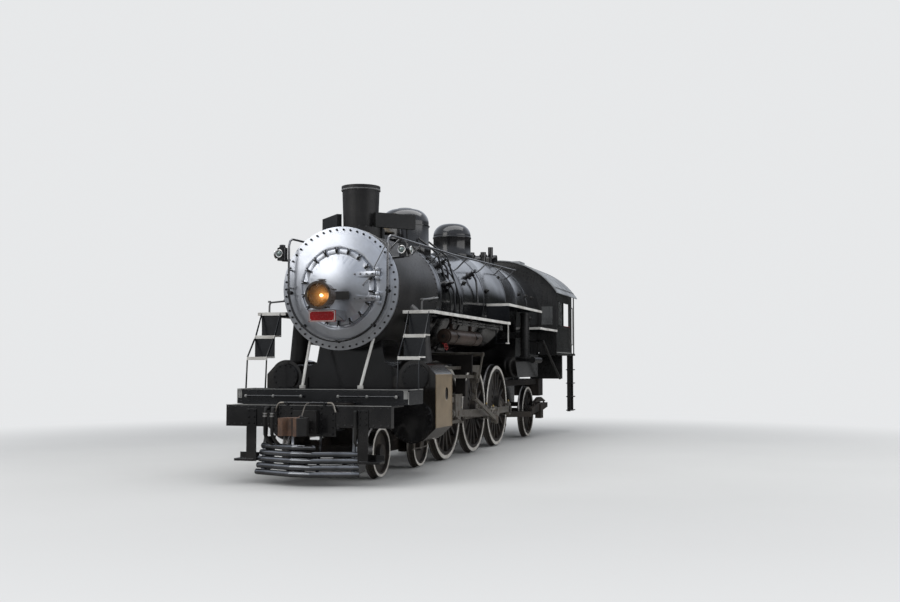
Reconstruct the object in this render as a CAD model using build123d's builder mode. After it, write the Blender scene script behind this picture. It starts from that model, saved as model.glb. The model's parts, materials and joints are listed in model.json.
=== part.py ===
import os
from math import cos, sin, radians, sqrt

from build123d import *

os.makedirs("parts", exist_ok=True)

# Sizes are in millimetres. +X is the front of the engine, +Y its left side and +Z is up.
# The origin is on the centre line, half way along the engine, at the height of the flange tips.

# Track and datums
MAIN_X = 350
FLANGE_DEPTH = 28
RAIL_Z = FLANGE_DEPTH
WHEEL_BACK_Y = 676.5
TYRE_WIDTH = 140
WHEEL_FACE_Y = WHEEL_BACK_Y + TYRE_WIDTH
SIDES = (1, -1)
FIT = 0.3

# Driving wheels
DRIVER_R = 927
DRIVER_PITCH = 1981
DRIVER_Z = RAIL_Z + DRIVER_R
DRIVER_XS = (MAIN_X + DRIVER_PITCH, MAIN_X, MAIN_X - DRIVER_PITCH)
DRIVER_AXLE_R = 122
DRIVER_HUB_R = 215
DRIVER_RIM_IN_R = 785
SPOKE_COUNT = 17
SPOKE_WIDTH_HUB = 92
SPOKE_WIDTH_RIM = 62
SPOKE_Y = (712, 782)
COUNTERWEIGHT_CHORD = 455
COUNTERWEIGHT_Y = (700, 806)
CRANK_R = 381
CRANK_BOSS_R = 165
CRANK_FACE_Y = 942
CRANK_ANGLE = {1: 195, -1: 105}
PIN_R = 75
PIN_CAP_R = 98
PIN_CAP_Y = (1041, 1058)

# Side rods
SIDE_ROD_Y = (950, 1040)
SIDE_ROD_DEPTH = 132
SIDE_ROD_FLUTE = 22
SIDE_ROD_EYE_R = 142

# Cylinders
CYLINDER_X = MAIN_X + 4574
CYLINDER_Y = 1150
CYLINDER_Z = DRIVER_Z
CYLINDER_HALF = 470
CYLINDER_R = 402
CYLINDER_FLAT_Y = 1585
CASING_LOW_Z = RAIL_Z + 790
CASING_HIGH_Z = RAIL_Z + 1700
CASING_IN_Y = 800
VALVE_Y = 1215
VALVE_Z = RAIL_Z + 1652
VALVE_R = 300
VALVE_COVER_R = 235
COVER_DEPTH = 45
COVER_BOSS_R = 150
COVER_BOSS_DEPTH = 30
VALVE_BOSS_DEPTH = 115
CASING_SLOT = (170, 230)
CASING_SLOT_DEPTH = 18
CASING_SLOT_X = CYLINDER_X - 150
CASING_SLOT_Z = RAIL_Z + 1360
ROD_BORE_R = 50.3

# Crossheads, guides and main rods
MAIN_ROD_LENGTH = 2900
MAIN_ROD_Y = (1100, 1200)
MAIN_ROD_FRONT_DEPTH = 125
MAIN_ROD_BACK_DEPTH = 170
MAIN_ROD_FLUTE = 25
MAIN_ROD_SMALL_R = 110
MAIN_ROD_BIG = (300, 250)
MAIN_ROD_BUSH_R = 105
STRAP_BOLT = (20, 16)
STRAP_BOLT_PLACES = (-112, 168)
WRIST_R = 55
PISTON_ROD_R = 50
CROSSHEAD_HALF = 225
CROSSHEAD_Y = (1066, 1240)
CROSSHEAD_SLOT_Y = (1092, 1208)
CROSSHEAD_BOTTOM_Z = CYLINDER_Z - 140
CROSSHEAD_TOP_Z = RAIL_Z + 1300
GUIDE_Y = (1090, 1210)
GUIDE_Z = (RAIL_Z + 1150, RAIL_Z + 1250)
GUIDE_BACK_X = MAIN_X + 2195
PISTON_ROD_END_X = CYLINDER_X - 371
CROSSHEAD_ARM_Y = 1280

# Guide yoke
YOKE_X = (MAIN_X + 2195, MAIN_X + 2255)
YOKE_Z = (RAIL_Z + 1885, RAIL_Z + 2060)
YOKE_LEG_Y = (1085, 1420)

# Valve gear
GEAR_CRANK_Y = (1215, 1275)
GEAR_ROD_Y = (1290, 1340)
GEAR_PIN_R = 34
GEAR_EYE_R = 62
ECCENTRIC_R = 235
ECCENTRIC_LAG = 75
ECCENTRIC_ROD_LENGTH = 1826
LINK_X = MAIN_X + 1700
LINK_Z = RAIL_Z + 1560
LINK_FOOT = 346
LINK_FOOT_ANGLE = {1: -81.8, -1: -112.4}
LINK_HALF = 265
LINK_WIDTH = 110
LINK_SLOT_WIDTH = 46
LINK_BOX_Y = (1238, 1282)
LINK_BOX_OUT_Y = (1346, 1382)
COMBINATION_TOP = (MAIN_X + 3850, RAIL_Z + 1652)
COMBINATION_FOOT = {1: (MAIN_X + 3560, RAIL_Z + 800), -1: (MAIN_X + 3790, RAIL_Z + 800)}
UNION_LENGTH = 780
REACH_Y = -1060
LIFT_X = LINK_X - 330
LIFT_Z = LINK_Z + 520
REACH_Z = RAIL_Z + 2300

# Main frame
FRAME_Y = (470, 590)
FRAME_TOP_Z = RAIL_Z + 1250
FRAME_LOW_Z = RAIL_Z + 1030
PEDESTAL_LOW_Z = RAIL_Z + 640
PEDESTAL_HALF = 300
FRAME_FRONT_X = MAIN_X + 6600
FRAME_BACK_X = MAIN_X - 7560
FRAME_SPLICE_X = MAIN_X - 3720
DRAWBAR_CASTING_X = (FRAME_BACK_X - 260, FRAME_BACK_X + 300)
FRAME_CROSS_XS = (MAIN_X + 6300, MAIN_X + 2950, MAIN_X + 990, MAIN_X - 990, MAIN_X - 3050)
FRAME_REAR_LOW_Z = RAIL_Z + 1330
FRAME_REAR_TOP_Z = RAIL_Z + 1480

# Lead truck
LEAD_R = 419
LEAD_XS = (MAIN_X + 5590, MAIN_X + 3558)
LEAD_Z = RAIL_Z + LEAD_R
LEAD_AXLE_R = 76
LEAD_BAR_Y = (430, 520)
LEAD_BAR_Z = (RAIL_Z + 330, RAIL_Z + 520)
TRUCK_PIVOT_X = CYLINDER_X
TRUCK_PLATE_Z = RAIL_Z + 900

# Trailing truck
TRAIL_R = 647.5
TRAIL_X = MAIN_X - 5220
TRAIL_Z = RAIL_Z + TRAIL_R
TRAIL_AXLE_R = 90
TRAIL_JOURNAL_END_Y = 1140
TRAIL_FRAME_Y = (1060, 1150)
TRAIL_FRAME_Z = (RAIL_Z + 700, RAIL_Z + 880)
TRAIL_BOX_Y = (1040, 1190)
TRAIL_PIVOT_X = MAIN_X - 3300
TRAIL_PIVOT_Z = (RAIL_Z + 560, RAIL_Z + 690)

# Smokebox
BOILER_Z = RAIL_Z + 3174
SMOKEBOX_R = 1040
SMOKEBOX_SKIN = 25
SMOKEBOX_X = (MAIN_X + 3240, MAIN_X + 5440)
RING_R = 1062
RING_X = (MAIN_X + 5440, MAIN_X + 5487)
FRONT_PLATE_R = 960
FRONT_PLATE_X = (MAIN_X + 5440, MAIN_X + 5515)
FRONT_BEAD = (MAIN_X + 5532, 690, 745, 835)
FRONT_EDGE_X = MAIN_X + 5502
DOOR_OPENING_R = 560
DOOR_Z = BOILER_Z + 15
DOOR_R = 650
DOOR_X = (FRONT_PLATE_X[1] + FIT, MAIN_X + 5560)
DOOR_CROWN = 70
DOOR_CROWN_R = 560
DOOR_HINGE_X = MAIN_X + 5605
DOOR_HINGE_Y = 735
DOOR_HINGE_ZS = (DOOR_Z - 206, DOOR_Z + 206)
STRAP_END_Y = 270
HINGE_PIN_R = 22
HINGE_EYE_R = 45
DOG_COUNT = 18
DOG_START = 12
DOG_RING_R = 620
DOG_SIZE = (24, 84, 40)

# Boiler and firebox
BARREL_BOTTOM_Z = RAIL_Z + 2159
BARREL_FRONT_R = 1015
BARREL_BACK_R = 1110
CONE_XS = (MAIN_X + 1500, MAIN_X - 500)
FIREBOX_X = (MAIN_X - 2750, MAIN_X - 5300)
FIREBOX_Z = BARREL_BOTTOM_Z + BARREL_BACK_R
MUD_RING_Z = RAIL_Z + 1560
MUD_RING_HALF = 1060
THROAT_X = MAIN_X - 3080
THROAT_Z = RAIL_Z + 2000
BACKHEAD_X = MAIN_X - 5950
ASH_PAN_X = (MAIN_X - 5240, MAIN_X - 3600)
ASH_PAN_HALF = 440
ASH_PAN_Z = RAIL_Z + 800
BAND_XS = (2950, 1500, 100, -1700, -2800, -3900)
BAND_WIDTH = 60
BAND_PROUD = 9

# Stack
STACK_X = MAIN_X + 4554
STACK_BASE_R = 310
STACK_TOP_R = 338
STACK_FLUE_R = 262
STACK_TOP_Z = RAIL_Z + 5073
STACK_RIM = (350, 70)
STACK_FOOT_R = 430

# Domes, bell and turret
SAND_DOME_X = MAIN_X + 2190
SAND_DOME_R = 480
SAND_DOME_TOP_Z = RAIL_Z + 4990
STEAM_DOME_X = MAIN_X - 1041
STEAM_DOME_R = 430
STEAM_DOME_TOP_Z = RAIL_Z + 5106
DOME_ROUND = 280
BELL_X = MAIN_X + 3400
BELL_AXIS_Z = RAIL_Z + 4680
BELL_R = 215
BELL_ARM_Y = 265
BELL_TRUNNION_R = 24
TURRET_X = MAIN_X - 3830

# Number boards, handrails and reservoirs
NUMBER_BOARD = (MAIN_X + 4450, 612, RAIL_Z + 4440)
NUMBER_BOARD_SIZE = (90, 800, 260)
NUMBER_BOARD_TURN = 47
HANDRAIL_POINTS = ((5300, 915, 4055), (2000, 945, 4075), (-3100, 1000, 4190))
HANDRAIL_POSTS = (5000, 3900, 2700, 1000, -500, -1800, -3000)
HANDRAIL_POST = (300, 16)
HANDRAIL_R = 19
FRONT_RAIL_X = MAIN_X + 5600
FRONT_RAIL_Y = 911
FRONT_RAIL_Z = (BOILER_Z, RAIL_Z + 3920)
RESERVOIR_X = (MAIN_X + 1730, MAIN_X + 3830)
RESERVOIR_Y = 1350
RESERVOIR_Z = RAIL_Z + 2385
RESERVOIR_R = 140

# Running boards and steps: back end, front end, height, inner edge, outer edge
BOARD_EDGE = 55
BOARD_SKIN = 14
STEP_SKIN = 22
HANGER_X = (MAIN_X + 30, MAIN_X + 52)
HANGER_YS = (1330, 1600)
HANGER_Z = RAIL_Z + 2340
BOARDS = (
    (MAIN_X - 60, MAIN_X + 5343, RAIL_Z + 2786, 1090, 1630),
    (MAIN_X - 3400, MAIN_X - 60, RAIL_Z + 3200, 1090, 1600),
    (MAIN_X - 5300, MAIN_X - 3200, RAIL_Z + 2790, 1115, 1600),
)
# Front steps: back edge, front edge, height, top of the riser at the back edge
STEP_Y = (1188, 1565)
FRONT_STEPS = (
    (MAIN_X + 5300, MAIN_X + 5560, RAIL_Z + 2374, BOARDS[0][2] - BOARD_SKIN),
    (MAIN_X + 5548, MAIN_X + 5860, RAIL_Z + 2001, RAIL_Z + 2374 - STEP_SKIN),
)

# Deck, beam, pilot and coupler
BEAM_X = (MAIN_X + 6600, MAIN_X + 6790)
BEAM_HALF = 1425
BEAM_Z = (RAIL_Z + 878, RAIL_Z + 1220)
BEAM_POCKET = (14, 500, RAIL_Z + 735)
DECK_X = (MAIN_X + 5560, MAIN_X + 6240)
DECK_HALF = 1530
DECK_Z = (RAIL_Z + 1221, RAIL_Z + 1462)
PILOT_RIBS = 5
PILOT_RIB_R = 46
PILOT_NOSE_HALF = 170
PILOT_SIDE_Y = (800, 816)
PILOT_SIDE_DEPTH = 430
PILOT_LOW = (MAIN_X + 6754, 887, RAIL_Z + 112, MAIN_X + 7014)
PILOT_HIGH = (MAIN_X + 6679, 815, RAIL_Z + 612, MAIN_X + 6914)
PILOT_POSTS = ((770, MAIN_X + 6775, MAIN_X + 6700), (240, MAIN_X + 6950, MAIN_X + 6785))
COUPLER_Z = RAIL_Z + 905
COUPLER_TIP_X = MAIN_X + 7320
FOOTBOARD_X = (MAIN_X + 6610, MAIN_X + 6830)
FOOTBOARD_Y = (910, 1255)
FOOTBOARD_STRAP_Y = (875, 1050)
FOOTBOARD_STRAP = 18
HOSE_YS = (-667, -545)
HOSE_R = 27
PIPE_Y = 848
HOSE_OUT = 95
DECK_RAIL_X = DECK_X[1] + 70
DECK_RAIL_Y = (330, 1330)
DECK_RAIL_Z = RAIL_Z + 1350
LEVER_X = BEAM_X[1] + 40
LEVER_Z = BEAM_Z[1] + 45
LEVER_HALF = 380
FOOTBOARD_Z = RAIL_Z + 364

# Headlight and plate
LAMP_X = (MAIN_X + 6160, MAIN_X + 6400)
LAMP_Z = RAIL_Z + 3000
LAMP_R = 215
LAMP_RIM_R = 234
LAMP_HOOD = 148
PLATE_X = MAIN_X + 6230
PLATE_Z = RAIL_Z + 2664
PLATE_SIZE = (476, 190)

# Cab
CAB_FRONT_X = MAIN_X - 5300
CAB_BACK_X = MAIN_X - 7960
CAB_SIDE_BACK_X = MAIN_X - 7450
CAB_HALF = 1575
CAB_SKIN = 25
CAB_FLOOR_Z = RAIL_Z + 2190
CAB_SILL_Z = RAIL_Z + 2910
CAB_EAVE_Z = RAIL_Z + 3813
CAB_CREST_Z = RAIL_Z + 4640
WINDOW_TOP_Z = RAIL_Z + 3560
CAB_WINDOWS = ((CAB_FRONT_X - 230, CAB_FRONT_X - 850), (CAB_FRONT_X - 910, CAB_FRONT_X - 1750))
FRONT_WINDOW_Y = (1170, 1470)
FRONT_WINDOW_Z = (RAIL_Z + 2940, RAIL_Z + 3420)
ROOF_RISE = CAB_CREST_Z - CAB_EAVE_Z
ROOF_R = (CAB_HALF * CAB_HALF + ROOF_RISE * ROOF_RISE) / (2 * ROOF_RISE)


def block(x, y, z, mode=Mode.ADD):
    """A square-edged block between two values on each axis."""
    with Locations(((x[0] + x[1]) / 2, (y[0] + y[1]) / 2, (z[0] + z[1]) / 2)):
        Box(abs(x[1] - x[0]), abs(y[1] - y[0]), abs(z[1] - z[0]), mode=mode)


def both(side, pair):
    """A pair of distances from the centre line, on the given side."""
    return (side * pair[0], side * pair[1])


def bar(start, end, radius, mode=Mode.ADD):
    """A round bar between two points."""
    first = Vector(*start)
    span = Vector(*end) - first
    with Locations(Plane(origin=first, z_dir=span)):
        Cylinder(radius, span.length, align=(Align.CENTER, Align.CENTER, Align.MIN), mode=mode)


def pipe(points, radius):
    """Round bars through a row of points, with ball elbows."""
    for start, end in zip(points, points[1:]):
        bar(start, end, radius)
    for point in points[1:-1]:
        with Locations(point):
            Sphere(radius)


def across(x, z, y, radius, mode=Mode.ADD):
    """A round bar that runs from side to side."""
    bar((x, min(y), z), (x, max(y), z), radius, mode)


def along(y, z, x, radius, mode=Mode.ADD):
    """A round bar that runs fore and aft."""
    bar((min(x), y, z), (max(x), y, z), radius, mode)


def side_plane(y):
    """The upright lengthwise plane: X to the right, Z up."""
    return Plane(origin=(0, max(y), 0), x_dir=(1, 0, 0), z_dir=(0, -1, 0))


def cross_plane(x):
    """The upright crosswise plane: Y to the right, Z up."""
    return Plane(origin=(x, 0, 0), x_dir=(0, 1, 0), z_dir=(1, 0, 0))


def side_plate(points, y, mode=Mode.ADD):
    """A flat plate with an outline in X and Z."""
    with BuildSketch(side_plane(y)) as outline:
        with BuildLine():
            Polyline(*points, close=True)
        make_face()
    extrude(outline.sketch, amount=abs(y[1] - y[0]), mode=mode)


def cross_plate(points, x, mode=Mode.ADD):
    """A flat plate with an outline in Y and Z."""
    with BuildSketch(cross_plane(min(x))) as outline:
        with BuildLine():
            Polyline(*points, close=True)
        make_face()
    extrude(outline.sketch, amount=abs(x[1] - x[0]), mode=mode)


def lever(start, end, widths, y, eyes):
    """A flat lever in the lengthwise plane with a round eye at each end."""
    dx = end[0] - start[0]
    dz = end[1] - start[1]
    length = sqrt(dx * dx + dz * dz)
    nx = -dz / length
    nz = dx / length
    a = widths[0] / 2
    b = widths[1] / 2
    corners = (
        (start[0] + nx * a, start[1] + nz * a),
        (end[0] + nx * b, end[1] + nz * b),
        (end[0] - nx * b, end[1] - nz * b),
        (start[0] - nx * a, start[1] - nz * a),
    )
    with BuildSketch(side_plane(y)) as outline:
        with BuildLine():
            Polyline(*corners, close=True)
        make_face()
        with Locations(start):
            Circle(eyes[0])
        with Locations(end):
            Circle(eyes[1])
    extrude(outline.sketch, amount=abs(y[1] - y[0]))


def save(piece, name):
    """Label a piece and write its file."""
    piece.label = name
    export_step(piece, "parts/" + name + ".step")


def pin_place(x, side):
    """Where a crank pin stands at rest."""
    angle = radians(CRANK_ANGLE[side])
    return (x + CRANK_R * cos(angle), DRIVER_Z + CRANK_R * sin(angle))


def wrist_x(side):
    """Where the crosshead pin stands at rest."""
    pin = pin_place(MAIN_X, side)
    drop = CYLINDER_Z - pin[1]
    return pin[0] + sqrt(MAIN_ROD_LENGTH * MAIN_ROD_LENGTH - drop * drop)


def barrel_z(x):
    """Centre height and radius of the boiler barrel at a place along it."""
    if x >= CONE_XS[0]:
        radius = BARREL_FRONT_R
    elif x <= CONE_XS[1]:
        radius = BARREL_BACK_R
    else:
        share = (CONE_XS[0] - x) / (CONE_XS[0] - CONE_XS[1])
        radius = BARREL_FRONT_R + share * (BARREL_BACK_R - BARREL_FRONT_R)
    return (BARREL_BOTTOM_Z + radius, radius)


def tyre_profile(radius, side, inner_radius):
    """Half section of a tyre and rim, from the wheel's back to its face."""
    back = WHEEL_BACK_Y
    face = WHEEL_FACE_Y
    points = (
        (back, inner_radius),
        (back, radius + 18),
        (back + 8, radius + FLANGE_DEPTH),
        (back + 20, radius + FLANGE_DEPTH),
        (back + 30, radius + 9),
        (back + 42, radius),
        (face - 6, radius - 3),
        (face, radius - 9),
        (face, inner_radius),
    )
    return [(side * y, r) for y, r in points]


def ring_solid(x, z, points):
    """A turned shape about a crosswise axle."""
    with BuildSketch(Plane(origin=(x, 0, z), x_dir=(0, 1, 0), z_dir=(1, 0, 0))) as section:
        with BuildLine():
            Polyline(*points, close=True)
        make_face()
    revolve(section.sketch, axis=Axis((x, 0, z), (0, 1, 0)))


def spokes(x, z, y, count, inner, outer, widths, turn):
    """A star of tapered spokes."""
    with BuildSketch(side_plane(y)) as star:
        for number in range(count):
            angle = radians(turn + 360 * number / count)
            ux = cos(angle)
            uz = sin(angle)
            a = widths[0] / 2
            b = widths[1] / 2
            with BuildLine():
                Polyline(
                    (x + inner * ux - a * uz, z + inner * uz + a * ux),
                    (x + outer * ux - b * uz, z + outer * uz + b * ux),
                    (x + outer * ux + b * uz, z + outer * uz - b * ux),
                    (x + inner * ux + a * uz, z + inner * uz - a * ux),
                    close=True,
                )
            make_face()
    extrude(star.sketch, amount=abs(y[1] - y[0]))


# Driving wheels: tyre, rim, spokes, balance weight, hub, crank boss and pin on one axle
for number, axle_x in enumerate(DRIVER_XS, start=1):
    with BuildPart() as driver_wheels:
        for side in SIDES:
            turn = CRANK_ANGLE[side]
            ring_solid(axle_x, DRIVER_Z, tyre_profile(DRIVER_R, side, DRIVER_RIM_IN_R))
            spokes(
                axle_x, DRIVER_Z, both(side, SPOKE_Y), SPOKE_COUNT, DRIVER_HUB_R - 40,
                DRIVER_RIM_IN_R + 12, (SPOKE_WIDTH_HUB, SPOKE_WIDTH_RIM), turn,
            )
            across(axle_x, DRIVER_Z, both(side, (WHEEL_BACK_Y, CRANK_FACE_Y - 40)), DRIVER_HUB_R)
            pin_x, pin_z = pin_place(axle_x, side)
            lever(
                (axle_x, DRIVER_Z), (pin_x, pin_z), (2 * DRIVER_HUB_R - 30, 2 * CRANK_BOSS_R - 20),
                both(side, (SPOKE_Y[0], CRANK_FACE_Y - 40)), (DRIVER_HUB_R, CRANK_BOSS_R),
            )
            across(pin_x, pin_z, both(side, (CRANK_FACE_Y - 60, CRANK_FACE_Y)), CRANK_BOSS_R - 25)
            across(pin_x, pin_z, both(side, (CRANK_FACE_Y - 5, PIN_CAP_Y[0] + 4)), PIN_R)
            across(pin_x, pin_z, both(side, PIN_CAP_Y), PIN_CAP_R)
            back_angle = radians(turn + 180)
            far = DRIVER_RIM_IN_R
            with BuildSketch(side_plane(both(side, COUNTERWEIGHT_Y))):
                with Locations((axle_x, DRIVER_Z)):
                    Circle(DRIVER_RIM_IN_R + 8)
                middle = COUNTERWEIGHT_CHORD + far
                with Locations(
                    Location((
                        axle_x + middle * cos(back_angle), DRIVER_Z + middle * sin(back_angle), 0
                    ), (0, 0, turn + 180))
                ):
                    Rectangle(2 * far, 2 * far, mode=Mode.INTERSECT)
            extrude(amount=COUNTERWEIGHT_Y[1] - COUNTERWEIGHT_Y[0])
        axle_end = CRANK_FACE_Y - 40
        across(
            axle_x, DRIVER_Z, (-axle_end - 1, axle_end + 1), DRIVER_AXLE_R + FIT, mode=Mode.SUBTRACT,
        )
        across(axle_x, DRIVER_Z, (-axle_end, axle_end), DRIVER_AXLE_R)
    save(driver_wheels.part, "driver_wheels_" + str(number))

# Side rods: one fluted bar over the three pins, with round oiled eyes
for side, side_name in ((1, "left"), (-1, "right")):
    pins = [pin_place(axle_x, side) for axle_x in DRIVER_XS]
    with BuildPart() as side_rod:
        for front_pin, back_pin in zip(pins, pins[1:]):
            lever(
                front_pin, back_pin, (SIDE_ROD_DEPTH, SIDE_ROD_DEPTH), both(side, SIDE_ROD_Y),
                (SIDE_ROD_EYE_R, SIDE_ROD_EYE_R),
            )
            low = front_pin[1] - SIDE_ROD_DEPTH / 2 + 26
            high = front_pin[1] + SIDE_ROD_DEPTH / 2 - 26
            outer = side * SIDE_ROD_Y[1]
            flute = (outer, outer - side * SIDE_ROD_FLUTE)
            run = (back_pin[0] + SIDE_ROD_EYE_R + 60, front_pin[0] - SIDE_ROD_EYE_R - 60)
            block(run, flute, (low, high), mode=Mode.SUBTRACT)
        for pin_x, pin_z in pins:
            block(
                (pin_x - 34, pin_x + 34), both(side, (SIDE_ROD_Y[0] + 18, SIDE_ROD_Y[1] - 18)),
                (pin_z + SIDE_ROD_EYE_R - 8, pin_z + SIDE_ROD_EYE_R + 34),
            )
            across(pin_x, pin_z, both(side, SIDE_ROD_Y), PIN_R + FIT, mode=Mode.SUBTRACT)
    save(side_rod.part, "side_rod_" + side_name)

# Crossheads: a block that wraps the guide bar, with the wrist pin and piston rod
for side, side_name in ((1, "left"), (-1, "right")):
    centre = wrist_x(side)
    ends = (centre - CROSSHEAD_HALF, centre + CROSSHEAD_HALF)
    with BuildPart() as crosshead:
        block(ends, both(side, CROSSHEAD_Y), (GUIDE_Z[0] - 45, CROSSHEAD_TOP_Z))
        side_plate(
            (
                (ends[0] + 70, GUIDE_Z[0] - 40), (ends[0] + 110, CROSSHEAD_BOTTOM_Z),
                (ends[1] - 60, CROSSHEAD_BOTTOM_Z), (ends[1] - 10, GUIDE_Z[0] - 40),
            ),
            both(side, CROSSHEAD_Y),
        )
        slot_top = GUIDE_Z[0] - 44
        block(
            (ends[0] - 20, centre + 130), both(side, CROSSHEAD_SLOT_Y),
            (CROSSHEAD_BOTTOM_Z - 20, slot_top), mode=Mode.SUBTRACT,
        )
        block(
            (ends[0] - 20, ends[1] + 20), both(side, (GUIDE_Y[0] - FIT, GUIDE_Y[1] + FIT)),
            (GUIDE_Z[0] - FIT, GUIDE_Z[1] + FIT), mode=Mode.SUBTRACT,
        )
        across(centre, CYLINDER_Z, both(side, (CROSSHEAD_Y[0], CROSSHEAD_Y[1] + 14)), WRIST_R)
        along(
            side * CYLINDER_Y, CYLINDER_Z, (centre + 140, PISTON_ROD_END_X + centre - wrist_x(1)),
            PISTON_ROD_R,
        )
        along(side * CYLINDER_Y, CYLINDER_Z, (ends[1] - 30, ends[1] + 60), PISTON_ROD_R + 32)
        arm = ends[1] - 50
        side_plate(
            (
                (arm - 60, CYLINDER_Z - 60), (arm + 30, CYLINDER_Z - 60),
                (arm + 36, RAIL_Z + 765), (arm - 36, RAIL_Z + 765),
            ),
            both(side, (CROSSHEAD_Y[1] - 5, CROSSHEAD_ARM_Y)),
        )
    save(crosshead.part, "crosshead_" + side_name)

# Main rods: fluted bar, round front eye and square strapped back end
for side, side_name in ((1, "left"), (-1, "right")):
    pin_x, pin_z = pin_place(MAIN_X, side)
    centre = wrist_x(side)
    tilt_x = (centre - pin_x) / MAIN_ROD_LENGTH
    tilt_z = (CYLINDER_Z - pin_z) / MAIN_ROD_LENGTH
    rod_y = both(side, MAIN_ROD_Y)
    rod_plane = Plane(
        origin=(pin_x, max(rod_y), pin_z), x_dir=(tilt_x, 0, tilt_z), z_dir=(0, -1, 0)
    )
    thick = MAIN_ROD_Y[1] - MAIN_ROD_Y[0]
    half_back = MAIN_ROD_BACK_DEPTH / 2
    half_front = MAIN_ROD_FRONT_DEPTH / 2
    with BuildPart() as main_rod:
        with BuildSketch(rod_plane):
            with BuildLine():
                Polyline(
                    (0, half_back), (MAIN_ROD_LENGTH, half_front),
                    (MAIN_ROD_LENGTH, -half_front), (0, -half_back), close=True,
                )
            make_face()
            Rectangle(MAIN_ROD_BIG[0], MAIN_ROD_BIG[1])
            with Locations((MAIN_ROD_LENGTH, 0)):
                Circle(MAIN_ROD_SMALL_R)
        extrude(amount=thick)
        face_plane = rod_plane if side > 0 else rod_plane.offset(thick)
        with BuildSketch(face_plane):
            with BuildLine():
                Polyline(
                    (260, half_back - 34), (MAIN_ROD_LENGTH - 190, half_front - 26),
                    (MAIN_ROD_LENGTH - 190, 26 - half_front), (260, 34 - half_back), close=True,
                )
            make_face()
        extrude(amount=side * MAIN_ROD_FLUTE, mode=Mode.SUBTRACT)
        across(centre, CYLINDER_Z, rod_y, WRIST_R + FIT, mode=Mode.SUBTRACT)
        across(pin_x, pin_z, both(side, (MAIN_ROD_Y[1] - 4, MAIN_ROD_Y[1] + 8)), MAIN_ROD_BUSH_R)
        for reach in STRAP_BOLT_PLACES:
            bolt_x = pin_x + reach * tilt_x
            bolt_z = pin_z + reach * tilt_z
            bolt_half = MAIN_ROD_BIG[1] / 2 + STRAP_BOLT[1]
            bar(
                (bolt_x + bolt_half * tilt_z, side * CYLINDER_Y, bolt_z - bolt_half * tilt_x),
                (bolt_x - bolt_half * tilt_z, side * CYLINDER_Y, bolt_z + bolt_half * tilt_x),
                STRAP_BOLT[0],
            )
    save(main_rod.part, "main_rod_" + side_name)

# Lead truck wheels: two pairs of disc wheels
for axle_x, axle_name in zip(LEAD_XS, ("front", "rear")):
    with BuildPart() as lead_wheels:
        for side in SIDES:
            ring_solid(axle_x, LEAD_Z, tyre_profile(LEAD_R, side, LEAD_R - 80))
            web = ((712, 60), (700, 345), (760, 345), (748, 60))
            ring_solid(axle_x, LEAD_Z, [(side * y, r) for y, r in web])
            across(axle_x, LEAD_Z, both(side, (WHEEL_BACK_Y, WHEEL_FACE_Y + 14)), 125)
        axle_end = WHEEL_FACE_Y + 14
        across(axle_x, LEAD_Z, (-axle_end - 1, axle_end + 1), LEAD_AXLE_R + FIT, mode=Mode.SUBTRACT)
        across(axle_x, LEAD_Z, (-axle_end, axle_end), LEAD_AXLE_R)
    save(lead_wheels.part, "lead_wheels_" + axle_name)

# Lead truck frame: side bars round the axle boxes, cross plate and round centre plate
with BuildPart() as lead_truck_frame:
    for side in SIDES:
        block((LEAD_XS[1] - 260, LEAD_XS[0] + 260), both(side, LEAD_BAR_Y), LEAD_BAR_Z)
        for axle_x in LEAD_XS:
            block(
                (axle_x - 135, axle_x + 135), both(side, (LEAD_BAR_Y[0] - 15, LEAD_BAR_Y[1] + 25)),
                (LEAD_Z - 150, LEAD_Z + 165),
            )
        for level in range(5):
            reach = 820 - 130 * level
            base = LEAD_BAR_Z[1] + 22 * level
            block(
                (TRUCK_PIVOT_X - reach, TRUCK_PIVOT_X + reach),
                both(side, (LEAD_BAR_Y[0] + 5, LEAD_BAR_Y[1] - 5)), (base, base + 22),
            )
    block(
        (TRUCK_PIVOT_X - 240, TRUCK_PIVOT_X + 240), (-LEAD_BAR_Y[1], LEAD_BAR_Y[1]),
        (LEAD_BAR_Z[1] - 60, LEAD_BAR_Z[1] + 180),
    )
    for end_x in (LEAD_XS[0] + 230, LEAD_XS[1] - 230):
        block((end_x - 30, end_x + 30), (-LEAD_BAR_Y[1], LEAD_BAR_Y[1]), LEAD_BAR_Z)
    bar(
        (TRUCK_PIVOT_X, 0, LEAD_BAR_Z[1]), (TRUCK_PIVOT_X, 0, TRUCK_PLATE_Z), 260,
    )
    for axle_x in LEAD_XS:
        across(axle_x, LEAD_Z, (-600, 600), LEAD_AXLE_R + FIT, mode=Mode.SUBTRACT)
save(lead_truck_frame.part, "lead_truck_frame")

# Trailing wheels: one pair of spoked wheels with outside journals
with BuildPart() as trailing_wheels:
    for side in SIDES:
        ring_solid(TRAIL_X, TRAIL_Z, tyre_profile(TRAIL_R, side, TRAIL_R - 125))
        spokes(
            TRAIL_X, TRAIL_Z, both(side, (715, 775)), 13, 110, TRAIL_R - 115, (74, 52), 0,
        )
        across(TRAIL_X, TRAIL_Z, both(side, (WHEEL_BACK_Y, WHEEL_FACE_Y + 20)), 160)
    across(
        TRAIL_X, TRAIL_Z, (-WHEEL_FACE_Y - 21, WHEEL_FACE_Y + 21), TRAIL_AXLE_R + FIT,
        mode=Mode.SUBTRACT,
    )
    across(TRAIL_X, TRAIL_Z, (-TRAIL_JOURNAL_END_Y, TRAIL_JOURNAL_END_Y), TRAIL_AXLE_R)
save(trailing_wheels.part, "trailing_wheels")

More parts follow.
